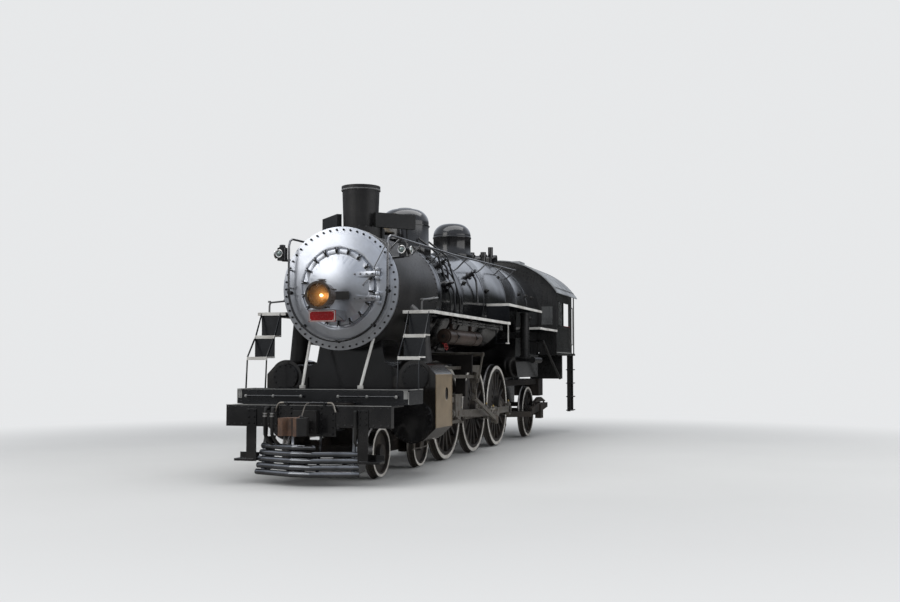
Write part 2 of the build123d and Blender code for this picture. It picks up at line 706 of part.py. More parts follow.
# Trailing truck frame: side frames, journal boxes, springs and the arms to the pivot
with BuildPart() as trailing_truck_frame:
    for side in SIDES:
        side_plate(
            (
                (TRAIL_X + 1000, TRAIL_FRAME_Z[0] - 90), (TRAIL_X + 1000, TRAIL_FRAME_Z[0] + 60),
                (TRAIL_X + 260, TRAIL_FRAME_Z[1]), (TRAIL_X - 260, TRAIL_FRAME_Z[1]),
                (TRAIL_X - 900, TRAIL_FRAME_Z[1] - 20), (TRAIL_X - 900, TRAIL_FRAME_Z[0] + 40),
                (TRAIL_X - 200, TRAIL_FRAME_Z[0] - 40), (TRAIL_X + 200, TRAIL_FRAME_Z[0] - 40),
            ),
            both(side, TRAIL_FRAME_Y),
        )
        block(
            (TRAIL_X - 150, TRAIL_X + 150), both(side, TRAIL_BOX_Y),
            (TRAIL_Z - 170, TRAIL_Z + 190),
        )
        for level in range(6):
            reach = 620 - 90 * level
            base = TRAIL_FRAME_Z[1] + 25 + 20 * level
            block(
                (TRAIL_X - reach, TRAIL_X + reach),
                both(side, (TRAIL_FRAME_Y[0] + 2, TRAIL_FRAME_Y[1] - 2)), (base, base + 20),
            )
        for reach in (-600, 600):
            bar(
                (TRAIL_X + reach, side * 1105, TRAIL_FRAME_Z[0] + 30),
                (TRAIL_X + reach, side * 1105, TRAIL_FRAME_Z[1] + 60), 24,
            )
        block(
            (TRAIL_X - 40, TRAIL_X + 40), both(side, (1075, 1135)),
            (TRAIL_Z + 180, TRAIL_FRAME_Z[1] + 40),
        )
        arm = (
            (TRAIL_X + 1000, side * TRAIL_FRAME_Y[1]), (TRAIL_X + 1000, side * 860),
            (TRAIL_PIVOT_X - 60, side * 40), (TRAIL_PIVOT_X + 120, side * 40),
            (TRAIL_X + 1200, side * TRAIL_FRAME_Y[1]),
        )
        with BuildSketch(Plane.XY.offset(TRAIL_PIVOT_Z[0])):
            with BuildLine():
                Polyline(*arm, close=True)
            make_face()
        extrude(amount=TRAIL_PIVOT_Z[1] - TRAIL_PIVOT_Z[0])
        across(
            TRAIL_X, TRAIL_Z, both(side, (1000, TRAIL_JOURNAL_END_Y + 5)), TRAIL_AXLE_R + FIT,
            mode=Mode.SUBTRACT,
        )
    bar((TRAIL_PIVOT_X, 0, TRAIL_PIVOT_Z[0]), (TRAIL_PIVOT_X, 0, TRAIL_PIVOT_Z[1]), 150)
    block(
        (TRAIL_X - 900, TRAIL_X - 800), (-TRAIL_FRAME_Y[1], TRAIL_FRAME_Y[1]),
        (TRAIL_FRAME_Z[0] + 40, TRAIL_FRAME_Z[1] - 20),
    )
save(trailing_truck_frame.part, "trailing_truck_frame")

# Main frame: front frames with pedestals and cross members, rear bars and the drawbar casting
with BuildPart() as main_frame:
    for side in SIDES:
        bar_y = both(side, FRAME_Y)
        block((MAIN_X - 3300, FRAME_FRONT_X), bar_y, (FRAME_LOW_Z, FRAME_TOP_Z))
        for axle_x in DRIVER_XS:
            side_plate(
                (
                    (axle_x - PEDESTAL_HALF - 60, FRAME_LOW_Z + 10),
                    (axle_x - PEDESTAL_HALF, PEDESTAL_LOW_Z),
                    (axle_x + PEDESTAL_HALF, PEDESTAL_LOW_Z),
                    (axle_x + PEDESTAL_HALF + 60, FRAME_LOW_Z + 10),
                ),
                bar_y,
            )
            block(
                (axle_x - 175, axle_x + 175), both(side, (FRAME_Y[0] - 40, FRAME_Y[1] + 40)),
                (DRIVER_Z - 185, DRIVER_Z + 230),
            )
        side_plate(
            (
                (MAIN_X - 3000, FRAME_LOW_Z), (MAIN_X - 3000, FRAME_TOP_Z),
                (MAIN_X - 3500, FRAME_REAR_TOP_Z), (FRAME_SPLICE_X, FRAME_REAR_TOP_Z),
                (FRAME_SPLICE_X, FRAME_REAR_LOW_Z), (MAIN_X - 3700, FRAME_REAR_LOW_Z),
                (MAIN_X - 3300, FRAME_LOW_Z),
            ),
            bar_y,
        )
        block(
            (FRAME_SPLICE_X - FIT, DRAWBAR_CASTING_X[1] + FIT), bar_y,
            (FRAME_REAR_LOW_Z, FRAME_REAR_TOP_Z),
        )
    for cross_x in FRAME_CROSS_XS:
        block(
            (cross_x - 70, cross_x + 70), (-FRAME_Y[1], FRAME_Y[1]), (FRAME_LOW_Z, FRAME_TOP_Z),
        )
    block(
        (TRAIL_PIVOT_X - 130, TRAIL_PIVOT_X + 170), (-FRAME_Y[1], FRAME_Y[1]),
        (FRAME_LOW_Z, FRAME_TOP_Z - 40),
    )
    bar(
        (TRAIL_PIVOT_X, 0, TRAIL_PIVOT_Z[1] + FIT), (TRAIL_PIVOT_X, 0, FRAME_LOW_Z + 20), 130,
    )
    bar(
        (TRUCK_PIVOT_X, 0, TRUCK_PLATE_Z + FIT), (TRUCK_PIVOT_X, 0, FRAME_LOW_Z + 60), 240,
    )
    block(
        (TRUCK_PIVOT_X - 400, TRUCK_PIVOT_X + 400), (-FRAME_Y[1], FRAME_Y[1]),
        (FRAME_LOW_Z, FRAME_TOP_Z),
    )
    block(
        DRAWBAR_CASTING_X, (-FRAME_Y[1] - 60, FRAME_Y[1] + 60),
        (FRAME_REAR_LOW_Z - 330, FRAME_REAR_TOP_Z),
    )
    block(
        (FRAME_BACK_X - 270, FRAME_BACK_X + 60), (-150, 150),
        (FRAME_REAR_LOW_Z - 215, FRAME_REAR_LOW_Z - 75), mode=Mode.SUBTRACT,
    )
    bar(
        (FRAME_BACK_X - 130, 0, FRAME_REAR_LOW_Z - 340), (FRAME_BACK_X - 130, 0, FRAME_REAR_TOP_Z + 10),
        45, mode=Mode.SUBTRACT,
    )
    for axle_x in DRIVER_XS:
        across(axle_x, DRIVER_Z, (-640, 640), DRIVER_AXLE_R + FIT, mode=Mode.SUBTRACT)
save(main_frame.part, "main_frame")

# Driver springs: leaf packs over the axle boxes
with BuildPart() as driver_springs:
    for axle_x in DRIVER_XS:
        for side in SIDES:
            for level in range(6):
                reach = 500 - 72 * level
                base = FRAME_TOP_Z + 150 - 22 * level
                block(
                    (axle_x - reach, axle_x + reach), both(side, (FRAME_Y[0] + 5, FRAME_Y[1] - 5)),
                    (base, base + 22),
                )
            block(
                (axle_x - 45, axle_x + 45), both(side, (FRAME_Y[0] - 8, FRAME_Y[1] + 8)),
                (FRAME_TOP_Z, FRAME_TOP_Z + 185),
            )
            for reach in (-480, 480):
                bar(
                    (axle_x + reach, side * 530, FRAME_TOP_Z),
                    (axle_x + reach, side * 530, FRAME_TOP_Z + 195), 20,
                )
save(driver_springs.part, "driver_springs")

# Brake gear: shoes behind the driving wheels, on beams hung from the frame
with BuildPart() as brake_gear:
    for axle_x in DRIVER_XS:
        beam_x = axle_x - 905
        beam_z = DRIVER_Z - 500
        across(beam_x, beam_z, (-800, 800), 42)
        for side in SIDES:
            with BuildSketch(side_plane(both(side, (718, 808)))):
                with Locations((axle_x, DRIVER_Z)):
                    Circle(DRIVER_R + 95)
                    Circle(DRIVER_R + 12, mode=Mode.SUBTRACT)
                with Locations(Location((axle_x - 855, DRIVER_Z - 487, 0), (0, 0, 209.7))):
                    Rectangle(420, 430, mode=Mode.INTERSECT)
            extrude(amount=90)
            lever(
                (beam_x, beam_z), (beam_x + 40, FRAME_LOW_Z + 60), (70, 70),
                both(side, (FRAME_Y[1], 632)), (48, 42),
            )
save(brake_gear.part, "brake_gear")

# Cylinders: a casing on each side round the cylinder and the valve chest above it
with BuildPart() as cylinders:
    for side in SIDES:
        with BuildSketch(cross_plane(CYLINDER_X - CYLINDER_HALF)):
            with Locations((side * CYLINDER_Y, CYLINDER_Z)):
                Circle(CYLINDER_R)
            with Locations((side * VALVE_Y, VALVE_Z)):
                Circle(VALVE_R)
            with BuildLine():
                Polyline(
                    (side * CASING_IN_Y, CYLINDER_Z + 40), (side * CASING_IN_Y, VALVE_Z),
                    (side * (VALVE_Y + 190), VALVE_Z + 232), (side * CYLINDER_FLAT_Y, CASING_HIGH_Z),
                    (side * CYLINDER_FLAT_Y, CASING_LOW_Z),
                    (side * (CYLINDER_Y + 250), CYLINDER_Z - 315), (side * CYLINDER_Y, CYLINDER_Z),
                    close=True,
                )
            make_face()
        extrude(amount=2 * CYLINDER_HALF)
        with BuildSketch(side_plane(both(side, (CYLINDER_FLAT_Y, CYLINDER_FLAT_Y - 1)))):
            with Locations((CASING_SLOT_X, CASING_SLOT_Z)):
                SlotOverall(CASING_SLOT[1], CASING_SLOT[0], rotation=90)
        extrude(amount=side * CASING_SLOT_DEPTH, mode=Mode.SUBTRACT)
        along(
            side * CYLINDER_Y, CYLINDER_Z,
            (CYLINDER_X - CYLINDER_HALF - 10, CYLINDER_X + CYLINDER_HALF - 60), ROD_BORE_R,
            mode=Mode.SUBTRACT,
        )
save(cylinders.part, "cylinders")

# Cylinder covers: round heads with a raised boss at both ends, and the valve chest heads
with BuildPart() as cylinder_covers:
    for side in SIDES:
        for end in (1, -1):
            face = CYLINDER_X + end * CYLINDER_HALF
            along(side * CYLINDER_Y, CYLINDER_Z, (face, face + end * COVER_DEPTH), CYLINDER_R - 22)
            along(side * VALVE_Y, VALVE_Z, (face, face + end * COVER_DEPTH), VALVE_COVER_R)
            along(
                side * CYLINDER_Y, CYLINDER_Z,
                (face + end * 10, face + end * (COVER_DEPTH + (COVER_BOSS_DEPTH if end < 0 else 0))),
                COVER_BOSS_R,
            )
            along(
                side * VALVE_Y, VALVE_Z,
                (face + end * 10, face + end * (VALVE_BOSS_DEPTH if end < 0 else COVER_DEPTH)),
                VALVE_COVER_R / 2,
            )
        along(
            side * CYLINDER_Y, CYLINDER_Z,
            (CYLINDER_X - CYLINDER_HALF - 200, CYLINDER_X - CYLINDER_HALF + 10), ROD_BORE_R,
            mode=Mode.SUBTRACT,
        )
save(cylinder_covers.part, "cylinder_covers")

# Guide bars: one heavy bar over each crosshead
with BuildPart() as guide_bars:
    for side in SIDES:
        block(
            (GUIDE_BACK_X, CYLINDER_X - CYLINDER_HALF - COVER_DEPTH), both(side, GUIDE_Y), GUIDE_Z,
        )
        block(
            (CYLINDER_X - CYLINDER_HALF - 160, CYLINDER_X - CYLINDER_HALF - COVER_DEPTH),
            both(side, (GUIDE_Y[0] + 10, GUIDE_Y[1] - 10)), (GUIDE_Z[0] - 40, GUIDE_Z[1] + 50),
        )
save(guide_bars.part, "guide_bars")

# Boiler: the jacketed barrel with its cone course and bands
with BuildPart() as boiler:
    front_z, front_r = barrel_z(SMOKEBOX_X[0])
    along(0, front_z, (CONE_XS[0], SMOKEBOX_X[0]), front_r)
    with BuildSketch(cross_plane(CONE_XS[1])):
        with Locations((0, FIREBOX_Z)):
            Circle(BARREL_BACK_R)
    with BuildSketch(cross_plane(CONE_XS[0])):
        with Locations((0, front_z)):
            Circle(BARREL_FRONT_R)
    loft()
    along(0, FIREBOX_Z, (FIREBOX_X[0], CONE_XS[1]), BARREL_BACK_R)
    for offset in BAND_XS:
        band_x = MAIN_X + offset
        if band_x > FIREBOX_X[0]:
            band_z, band_r = barrel_z(band_x)
            along(0, band_z, (band_x - BAND_WIDTH / 2, band_x + BAND_WIDTH / 2), band_r + BAND_PROUD)
save(boiler.part, "boiler")

# Guide yoke: a deep plate across the engine with a leg down to each guide bar
with BuildPart() as guide_yoke:
    block(YOKE_X, (-YOKE_LEG_Y[1], YOKE_LEG_Y[1]), YOKE_Z)
    block(YOKE_X, (-420, 420), (YOKE_Z[1], BARREL_BOTTOM_Z + 120))
    for side in SIDES:
        block(YOKE_X, both(side, YOKE_LEG_Y), (LINK_Z + 150, YOKE_Z[0]))
        block(YOKE_X, both(side, (YOKE_LEG_Y[0], LINK_BOX_Y[1])), (GUIDE_Z[1], LINK_Z + 150))
    add(boiler.part, mode=Mode.SUBTRACT)
save(guide_yoke.part, "guide_yoke")

# Valve gear: link boxes, slotted links, radius rods, combination levers and the reach rod
with BuildPart() as valve_gear:
    for side in SIDES:
        for box_y in (LINK_BOX_Y, LINK_BOX_OUT_Y):
            side_plate(
                (
                    (YOKE_X[0], LINK_Z + 190), (YOKE_X[0], LINK_Z + 300),
                    (LINK_X - 260, LINK_Z + 300), (LINK_X - 260, LINK_Z + 190),
                    (LINK_X - 70, LINK_Z + 150), (LINK_X - 60, LINK_Z - 60),
                    (LINK_X + 60, LINK_Z - 60), (LINK_X + 70, LINK_Z + 150),
                ),
                both(side, box_y),
            )
        across(LINK_X, LINK_Z, both(side, (LINK_BOX_Y[0], LINK_BOX_OUT_Y[1] + 25)), 44)
        foot_angle = radians(LINK_FOOT_ANGLE[side])
        foot = (LINK_X + LINK_FOOT * cos(foot_angle), LINK_Z + LINK_FOOT * sin(foot_angle))
        lean = LINK_FOOT_ANGLE[side] + 90
        link_y = both(side, (GEAR_ROD_Y[0] - 4, GEAR_ROD_Y[1] + 2))
        with BuildSketch(side_plane(link_y)):
            with Locations(Location((LINK_X, LINK_Z, 0), (0, 0, lean))):
                SlotOverall(2 * LINK_HALF, LINK_WIDTH, rotation=90)
        extrude(amount=abs(link_y[1] - link_y[0]))
        with BuildSketch(side_plane(link_y)):
            with Locations(Location((LINK_X, LINK_Z, 0), (0, 0, lean))):
                SlotOverall(2 * LINK_HALF - 60, LINK_WIDTH - 64, rotation=90)
        extrude(amount=abs(link_y[1] - link_y[0]), mode=Mode.SUBTRACT)
        across(LINK_X, LINK_Z, link_y, 44)
        lever(
            (LINK_X + 0.62 * (foot[0] - LINK_X), LINK_Z + 0.62 * (foot[1] - LINK_Z)), foot,
            (70, 60), both(side, (GEAR_ROD_Y[1] + 2, GEAR_ROD_Y[1] + 26)), (36, 38),
        )
        lever(
            (LINK_X - 60, LINK_Z + 70), COMBINATION_TOP, (70, 60), both(side, (1298, 1332)), (40, 44),
        )
        comb_foot = COMBINATION_FOOT[side]
        lever(
            COMBINATION_TOP, comb_foot, (90, 62), both(side, (1334, 1366)), (58, 46),
        )
        across(COMBINATION_TOP[0], COMBINATION_TOP[1], both(side, (1210, 1376)), 30)
        along(
            side * VALVE_Y, COMBINATION_TOP[1],
            (COMBINATION_TOP[0] - 60, CYLINDER_X - CYLINDER_HALF - VALVE_BOSS_DEPTH), 32,
        )
        block(
            (COMBINATION_TOP[0] - 60, COMBINATION_TOP[0] + 60), both(side, (1165, 1275)),
            (COMBINATION_TOP[1] - 60, COMBINATION_TOP[1] + 55),
        )
        union_back = (comb_foot[0] - UNION_LENGTH, comb_foot[1] - 8)
        lever(union_back, comb_foot, (52, 52), both(side, (1290, 1334)), (42, 42))
        across(comb_foot[0], comb_foot[1], both(side, (1288, 1376)), 24)
        block(
            (YOKE_X[1], CYLINDER_X - CYLINDER_HALF - COVER_DEPTH), both(side, (1120, 1200)),
            (VALVE_Z + 125, VALVE_Z + 185),
        )
        block(
            (COMBINATION_TOP[0] - 90, COMBINATION_TOP[0] + 90), both(side, (1180, 1250)),
            (VALVE_Z + 50, VALVE_Z + 130),
        )
        lever(
            (LINK_X - 60, LINK_Z + 70), (LIFT_X, LIFT_Z), (44, 60),
            both(side, (1384, 1410)), (34, 48),
        )
        across(LIFT_X, LIFT_Z, both(side, (1090, 1420)), 42)
        across(LINK_X - 60, LINK_Z + 70, both(side, (1298, 1410)), 22)
    across(LIFT_X, LIFT_Z, (-1100, 1100), 42)
    pipe(
        (
            (LIFT_X, REACH_Y, REACH_Z), (LINK_X - 1600, REACH_Y, REACH_Z + 60),
            (CAB_FRONT_X + 10, REACH_Y, REACH_Z + 260),
        ), 24,
    )
    lever(
        (LIFT_X, LIFT_Z), (LIFT_X, REACH_Z), (70, 56), (REACH_Y - 60, REACH_Y - 24), (56, 40),
    )
    across(LIFT_X, REACH_Z, (REACH_Y - 60, REACH_Y + 20), 26)
save(valve_gear.part, "valve_gear")

# Eccentric rods: the return crank off each main pin and the rod up to the link foot
with BuildPart() as eccentric_rods:
    for side in SIDES:
        pin_x, pin_z = pin_place(MAIN_X, side)
        angle = radians(CRANK_ANGLE[side] + ECCENTRIC_LAG)
        eccentric = (MAIN_X + ECCENTRIC_R * cos(angle), DRIVER_Z + ECCENTRIC_R * sin(angle))
        foot_angle = radians(LINK_FOOT_ANGLE[side])
        foot = (LINK_X + LINK_FOOT * cos(foot_angle), LINK_Z + LINK_FOOT * sin(foot_angle))
        lever((pin_x, pin_z), eccentric, (110, 92), both(side, GEAR_CRANK_Y), (88, 66))
        across(eccentric[0], eccentric[1], both(side, (GEAR_CRANK_Y[1], GEAR_ROD_Y[1] + 14)), GEAR_PIN_R)
        lever(eccentric, foot, (84, 66), both(side, GEAR_ROD_Y), (92, GEAR_EYE_R))
        across(eccentric[0], eccentric[1], both(side, (GEAR_ROD_Y[0] - 8, GEAR_ROD_Y[1] + 8)), 70)
        across(foot[0], foot[1], both(side, (GEAR_ROD_Y[0] - 20, GEAR_ROD_Y[1] + 2)), GEAR_PIN_R)
save(eccentric_rods.part, "eccentric_rods")

# Cylinder saddle: the casting between the cylinders that cradles the smokebox
with BuildPart() as cylinder_saddle:
    cross_plate(
        (
            (-CASING_IN_Y - 120, FRAME_TOP_Z - 120), (-CASING_IN_Y - 120, VALVE_Z + 120),
            (-640, VALVE_Z + 260), (-560, BOILER_Z - 820), (560, BOILER_Z - 820),
            (640, VALVE_Z + 260), (CASING_IN_Y + 120, VALVE_Z + 120),
            (CASING_IN_Y + 120, FRAME_TOP_Z - 120), (620, FRAME_LOW_Z + 20),
            (-620, FRAME_LOW_Z + 20),
        ),
        (CYLINDER_X - 430, CYLINDER_X + 430),
    )
    along(0, BOILER_Z, (CYLINDER_X - 500, CYLINDER_X + 500), SMOKEBOX_R, mode=Mode.SUBTRACT)
    block(
        (CYLINDER_X - 500, CYLINDER_X + 500), (-FRAME_Y[1], FRAME_Y[1]),
        (FRAME_LOW_Z - 60, FRAME_TOP_Z), mode=Mode.SUBTRACT,
    )
    add(cylinders.part, mode=Mode.SUBTRACT)
save(cylinder_saddle.part, "cylinder_saddle")

# Smokebox: an open drum with the hole for the stack
with BuildPart() as smokebox:
    along(0, BOILER_Z, SMOKEBOX_X, SMOKEBOX_R)
    along(0, BOILER_Z, (SMOKEBOX_X[0] + 30, SMOKEBOX_X[1] + 10), SMOKEBOX_R - SMOKEBOX_SKIN, mode=Mode.SUBTRACT)
    bar((STACK_X, 0, BOILER_Z), (STACK_X, 0, BOILER_Z + SMOKEBOX_R + 50), STACK_FLUE_R, mode=Mode.SUBTRACT)
save(smokebox.part, "smokebox")

# Smokebox front: the bolt ring and the silver plate with the door opening
with BuildPart() as smokebox_front:
    along(0, BOILER_Z, RING_X, RING_R)
    with BuildSketch(Plane(origin=(0, 0, BOILER_Z), x_dir=(1, 0, 0), z_dir=(0, -1, 0))) as half:
        with BuildLine():
            Polyline(
                (FRONT_PLATE_X[0], 0), (FRONT_PLATE_X[1], 0), (FRONT_PLATE_X[1], FRONT_BEAD[1] - 15),
                (FRONT_BEAD[0], FRONT_BEAD[1]), (FRONT_BEAD[0], FRONT_BEAD[2]),
                (FRONT_EDGE_X + 3, FRONT_BEAD[3]), (FRONT_EDGE_X, FRONT_PLATE_R),
                (FRONT_PLATE_X[0], FRONT_PLATE_R), close=True,
            )
        make_face()
    revolve(half.sketch, axis=Axis((0, 0, BOILER_Z), (1, 0, 0)))
    along(0, DOOR_Z, (FRONT_PLATE_X[0] - 10, FRONT_PLATE_X[1] + 10), DOOR_OPENING_R, mode=Mode.SUBTRACT)
    for hinge_z in DOOR_HINGE_ZS:
        for offset in (-72, 72):
            block(
                (FRONT_PLATE_X[1] - 5, DOOR_HINGE_X + 30), (DOOR_HINGE_Y - 32, DOOR_HINGE_Y + 32),
                (hinge_z + offset - 26, hinge_z + offset + 26),
            )
        bar(
            (DOOR_HINGE_X, DOOR_HINGE_Y, hinge_z - 110), (DOOR_HINGE_X, DOOR_HINGE_Y, hinge_z + 110),
            HINGE_PIN_R,
        )
save(smokebox_front.part, "smokebox_front")

# Smokebox door: a dished disc with strap hinges and a ring of dogs
with BuildPart() as smokebox_door:
    along(0, DOOR_Z, DOOR_X, DOOR_R)
    with BuildSketch(cross_plane(DOOR_X[1])):
        with Locations((0, DOOR_Z)):
            Circle(DOOR_CROWN_R)
    with BuildSketch(cross_plane(DOOR_X[1] + DOOR_CROWN)):
        with Locations((0, DOOR_Z)):
            Circle(DOOR_CROWN_R - 190)
    loft()
    for number in range(DOG_COUNT):
        turn = DOG_START + 360 * number / DOG_COUNT
        with Locations(
            Location((
                DOOR_X[1] + 9, DOG_RING_R * cos(radians(turn)), DOOR_Z + DOG_RING_R * sin(radians(turn))
            ), (turn, 0, 0))
        ):
            Box(*DOG_SIZE)
    for hinge_z in DOOR_HINGE_ZS:
        block(
            (DOOR_X[1] + 18, DOOR_X[1] + 62), (STRAP_END_Y, DOOR_HINGE_Y), (hinge_z - 44, hinge_z + 44),
        )
        block((DOOR_X[1] - 5, DOOR_X[1] + 20), (330, 470), (hinge_z - 44, hinge_z + 44))
        bar(
            (DOOR_HINGE_X, DOOR_HINGE_Y, hinge_z - 44), (DOOR_HINGE_X, DOOR_HINGE_Y, hinge_z + 44),
            HINGE_EYE_R,
        )
        bar(
            (DOOR_HINGE_X, DOOR_HINGE_Y, hinge_z - 60), (DOOR_HINGE_X, DOOR_HINGE_Y, hinge_z + 60),
            HINGE_PIN_R + FIT, mode=Mode.SUBTRACT,
        )
    block((DOOR_X[1] + 40, LAMP_X[1] - 60), (-170, 170), (LAMP_Z - LAMP_R - 24, LAMP_Z - LAMP_R - 4))
    for side in SIDES:
        side_plate(
            (
                (DOOR_X[1] + 30, LAMP_Z - LAMP_R - 20), (PLATE_X - 50, LAMP_Z - LAMP_R - 20),
                (DOOR_X[1] + 30, LAMP_Z - LAMP_R - 190),
            ),
            both(side, (140, 156)),
        )
save(smokebox_door.part, "smokebox_door")

# Headlight: a round case with a deep rim
with BuildPart() as headlight:
    along(0, LAMP_Z, LAMP_X, LAMP_R)
    along(0, LAMP_Z, (LAMP_X[1] - 60, LAMP_X[1]), LAMP_RIM_R)
    along(0, LAMP_Z, (LAMP_X[1] - LAMP_HOOD, LAMP_X[1] + 1), LAMP_R - 22, mode=Mode.SUBTRACT)
    block((LAMP_X[0] + 20, LAMP_X[1] - 90), (-120, 120), (LAMP_Z - LAMP_R - 4, LAMP_Z - LAMP_R + 40))
save(headlight.part, "headlight")

# Number plate: a flat board hung under the headlight
with BuildPart() as number_plate:
    block(
        (PLATE_X - 14, PLATE_X), (-PLATE_SIZE[0] / 2, PLATE_SIZE[0] / 2),
        (PLATE_Z - PLATE_SIZE[1] / 2, PLATE_Z + PLATE_SIZE[1] / 2),
    )
    for side in SIDES:
        block(
            (PLATE_X - 44, PLATE_X - 10), both(side, (110, 140)),
            (PLATE_Z + 30, LAMP_Z - LAMP_R - 24),
        )
save(number_plate.part, "number_plate")

# Stack: a hollow tapered tube with a rolled rim and a flared foot
with BuildPart() as stack:
    foot_z = BOILER_Z + 850
    bar((STACK_X, 0, foot_z), (STACK_X, 0, BOILER_Z + SMOKEBOX_R + 90), STACK_FOOT_R)
    with BuildSketch(Plane.XY.offset(BOILER_Z + SMOKEBOX_R + 60)):
        with Locations((STACK_X, 0)):
            Circle(STACK_BASE_R)
    with BuildSketch(Plane.XY.offset(STACK_TOP_Z)):
        with Locations((STACK_X, 0)):
            Circle(STACK_TOP_R)
    loft()
    bar((STACK_X, 0, STACK_TOP_Z - STACK_RIM[1]), (STACK_X, 0, STACK_TOP_Z), STACK_RIM[0])
    bar((STACK_X, 0, foot_z - 10), (STACK_X, 0, STACK_TOP_Z + 10), STACK_FLUE_R, mode=Mode.SUBTRACT)
    along(0, BOILER_Z, (STACK_X - 600, STACK_X + 600), SMOKEBOX_R, mode=Mode.SUBTRACT)
save(stack.part, "stack")

# Steam pipes: one cased pipe each side from the smokebox down to the valve chest
with BuildPart() as steam_pipes:
    for side in SIDES:
        pipe(
            (
                (CYLINDER_X, side * 860, BOILER_Z - 330), (CYLINDER_X, side * 1120, BOILER_Z - 560),
                (CYLINDER_X, side * 1190, VALVE_Z + 250),
            ), 165,
        )
    along(0, BOILER_Z, (CYLINDER_X - 300, CYLINDER_X + 300), SMOKEBOX_R, mode=Mode.SUBTRACT)
    for side in SIDES:
        along(side * VALVE_Y, VALVE_Z, (CYLINDER_X - 300, CYLINDER_X + 300), VALVE_R, mode=Mode.SUBTRACT)
save(steam_pipes.part, "steam_pipes")

# Firebox: the wide back end of the boiler with its sloping throat, backhead and ash pan
with BuildPart() as firebox:
    with BuildSketch(cross_plane(FIREBOX_X[1])):
        with Locations((0, FIREBOX_Z)):
            Circle(BARREL_BACK_R)
        with BuildLine():
            Polyline(
                (-BARREL_BACK_R, FIREBOX_Z), (BARREL_BACK_R, FIREBOX_Z),
                (MUD_RING_HALF, MUD_RING_Z), (-MUD_RING_HALF, MUD_RING_Z), close=True,
            )
        make_face()
    extrude(amount=FIREBOX_X[0] - FIREBOX_X[1])
    side_plate(
        (
            (FIREBOX_X[0] + 10, MUD_RING_Z - 10), (FIREBOX_X[0] + 10, THROAT_Z),
            (THROAT_X, MUD_RING_Z - 10),
        ),
        (-1200, 1200), mode=Mode.SUBTRACT,
    )
    along(0, FIREBOX_Z, (BACKHEAD_X, FIREBOX_X[1]), BARREL_BACK_R - 60)
    block((FIREBOX_X[1], BACKHEAD_X), (-900, 900), (CAB_FLOOR_Z + 31, FIREBOX_Z))
    for offset in BAND_XS:
        band_x = MAIN_X + offset
        if FIREBOX_X[1] < band_x < FIREBOX_X[0]:
            along(
                0, FIREBOX_Z, (band_x - BAND_WIDTH / 2, band_x + BAND_WIDTH / 2),
                BARREL_BACK_R + BAND_PROUD,
            )
    block(ASH_PAN_X, (-ASH_PAN_HALF, ASH_PAN_HALF), (ASH_PAN_Z, MUD_RING_Z - FIT))
    for side in SIDES:
        for offset in (-3750, -5150):
            block(
                (MAIN_X + offset - 60, MAIN_X + offset + 60), both(side, FRAME_Y),
                (FRAME_REAR_TOP_Z, MUD_RING_Z),
            )
save(firebox.part, "firebox")

# Sand dome: a round cover with a rounded top on the barrel
with BuildPart() as sand_dome:
    sand_z, sand_r = barrel_z(SAND_DOME_X)
    bar((SAND_DOME_X, 0, sand_z + 600), (SAND_DOME_X, 0, SAND_DOME_TOP_Z), SAND_DOME_R)
    fillet(sand_dome.faces().sort_by(Axis.Z)[-1].edges(), radius=DOME_ROUND)
    bar((SAND_DOME_X, 0, sand_z + 600), (SAND_DOME_X, 0, sand_z + sand_r + 30), SAND_DOME_R + 45)
    bar((SAND_DOME_X, 0, SAND_DOME_TOP_Z - 20), (SAND_DOME_X, 0, SAND_DOME_TOP_Z + 22), 150)
    add(boiler.part, mode=Mode.SUBTRACT)
save(sand_dome.part, "sand_dome")

# Steam dome: a taller cover with a lid seam
with BuildPart() as steam_dome:
    steam_z, steam_r = barrel_z(STEAM_DOME_X)
    bar((STEAM_DOME_X, 0, steam_z + 700), (STEAM_DOME_X, 0, STEAM_DOME_TOP_Z), STEAM_DOME_R)
    fillet(steam_dome.faces().sort_by(Axis.Z)[-1].edges(), radius=DOME_ROUND)
    bar((STEAM_DOME_X, 0, steam_z + 700), (STEAM_DOME_X, 0, steam_z + steam_r + 30), STEAM_DOME_R + 45)
    lid_z = STEAM_DOME_TOP_Z - DOME_ROUND - 60
    bar((STEAM_DOME_X, 0, lid_z), (STEAM_DOME_X, 0, lid_z + 34), STEAM_DOME_R + 12)
    add(boiler.part, mode=Mode.SUBTRACT)
save(steam_dome.part, "steam_dome")

# Turret: the steam manifold with two safety valves and the whistle, ahead of the cab
with BuildPart() as turret:
    turret_top = FIREBOX_Z + BARREL_BACK_R
    block((TURRET_X - 170, TURRET_X + 170), (-230, 230), (turret_top - 60, turret_top + 170))
    across(TURRET_X, turret_top + 190, (-330, 330), 95)
    for side in SIDES:
        bar(
            (TURRET_X + 620, side * 150, turret_top - 40), (TURRET_X + 620, side * 150, turret_top + 300),
            70,
        )
        bar(
            (TURRET_X + 620, side * 150, turret_top + 180), (TURRET_X + 620, side * 150, turret_top + 240),
            95,
        )
    bar((TURRET_X + 330, 260, turret_top - 80), (TURRET_X + 330, 260, turret_top + 250), 28)
    bar((TURRET_X + 330, 260, turret_top + 200), (TURRET_X + 330, 260, turret_top + 450), 62)
    add(firebox.part, mode=Mode.SUBTRACT)
save(turret.part, "turret")

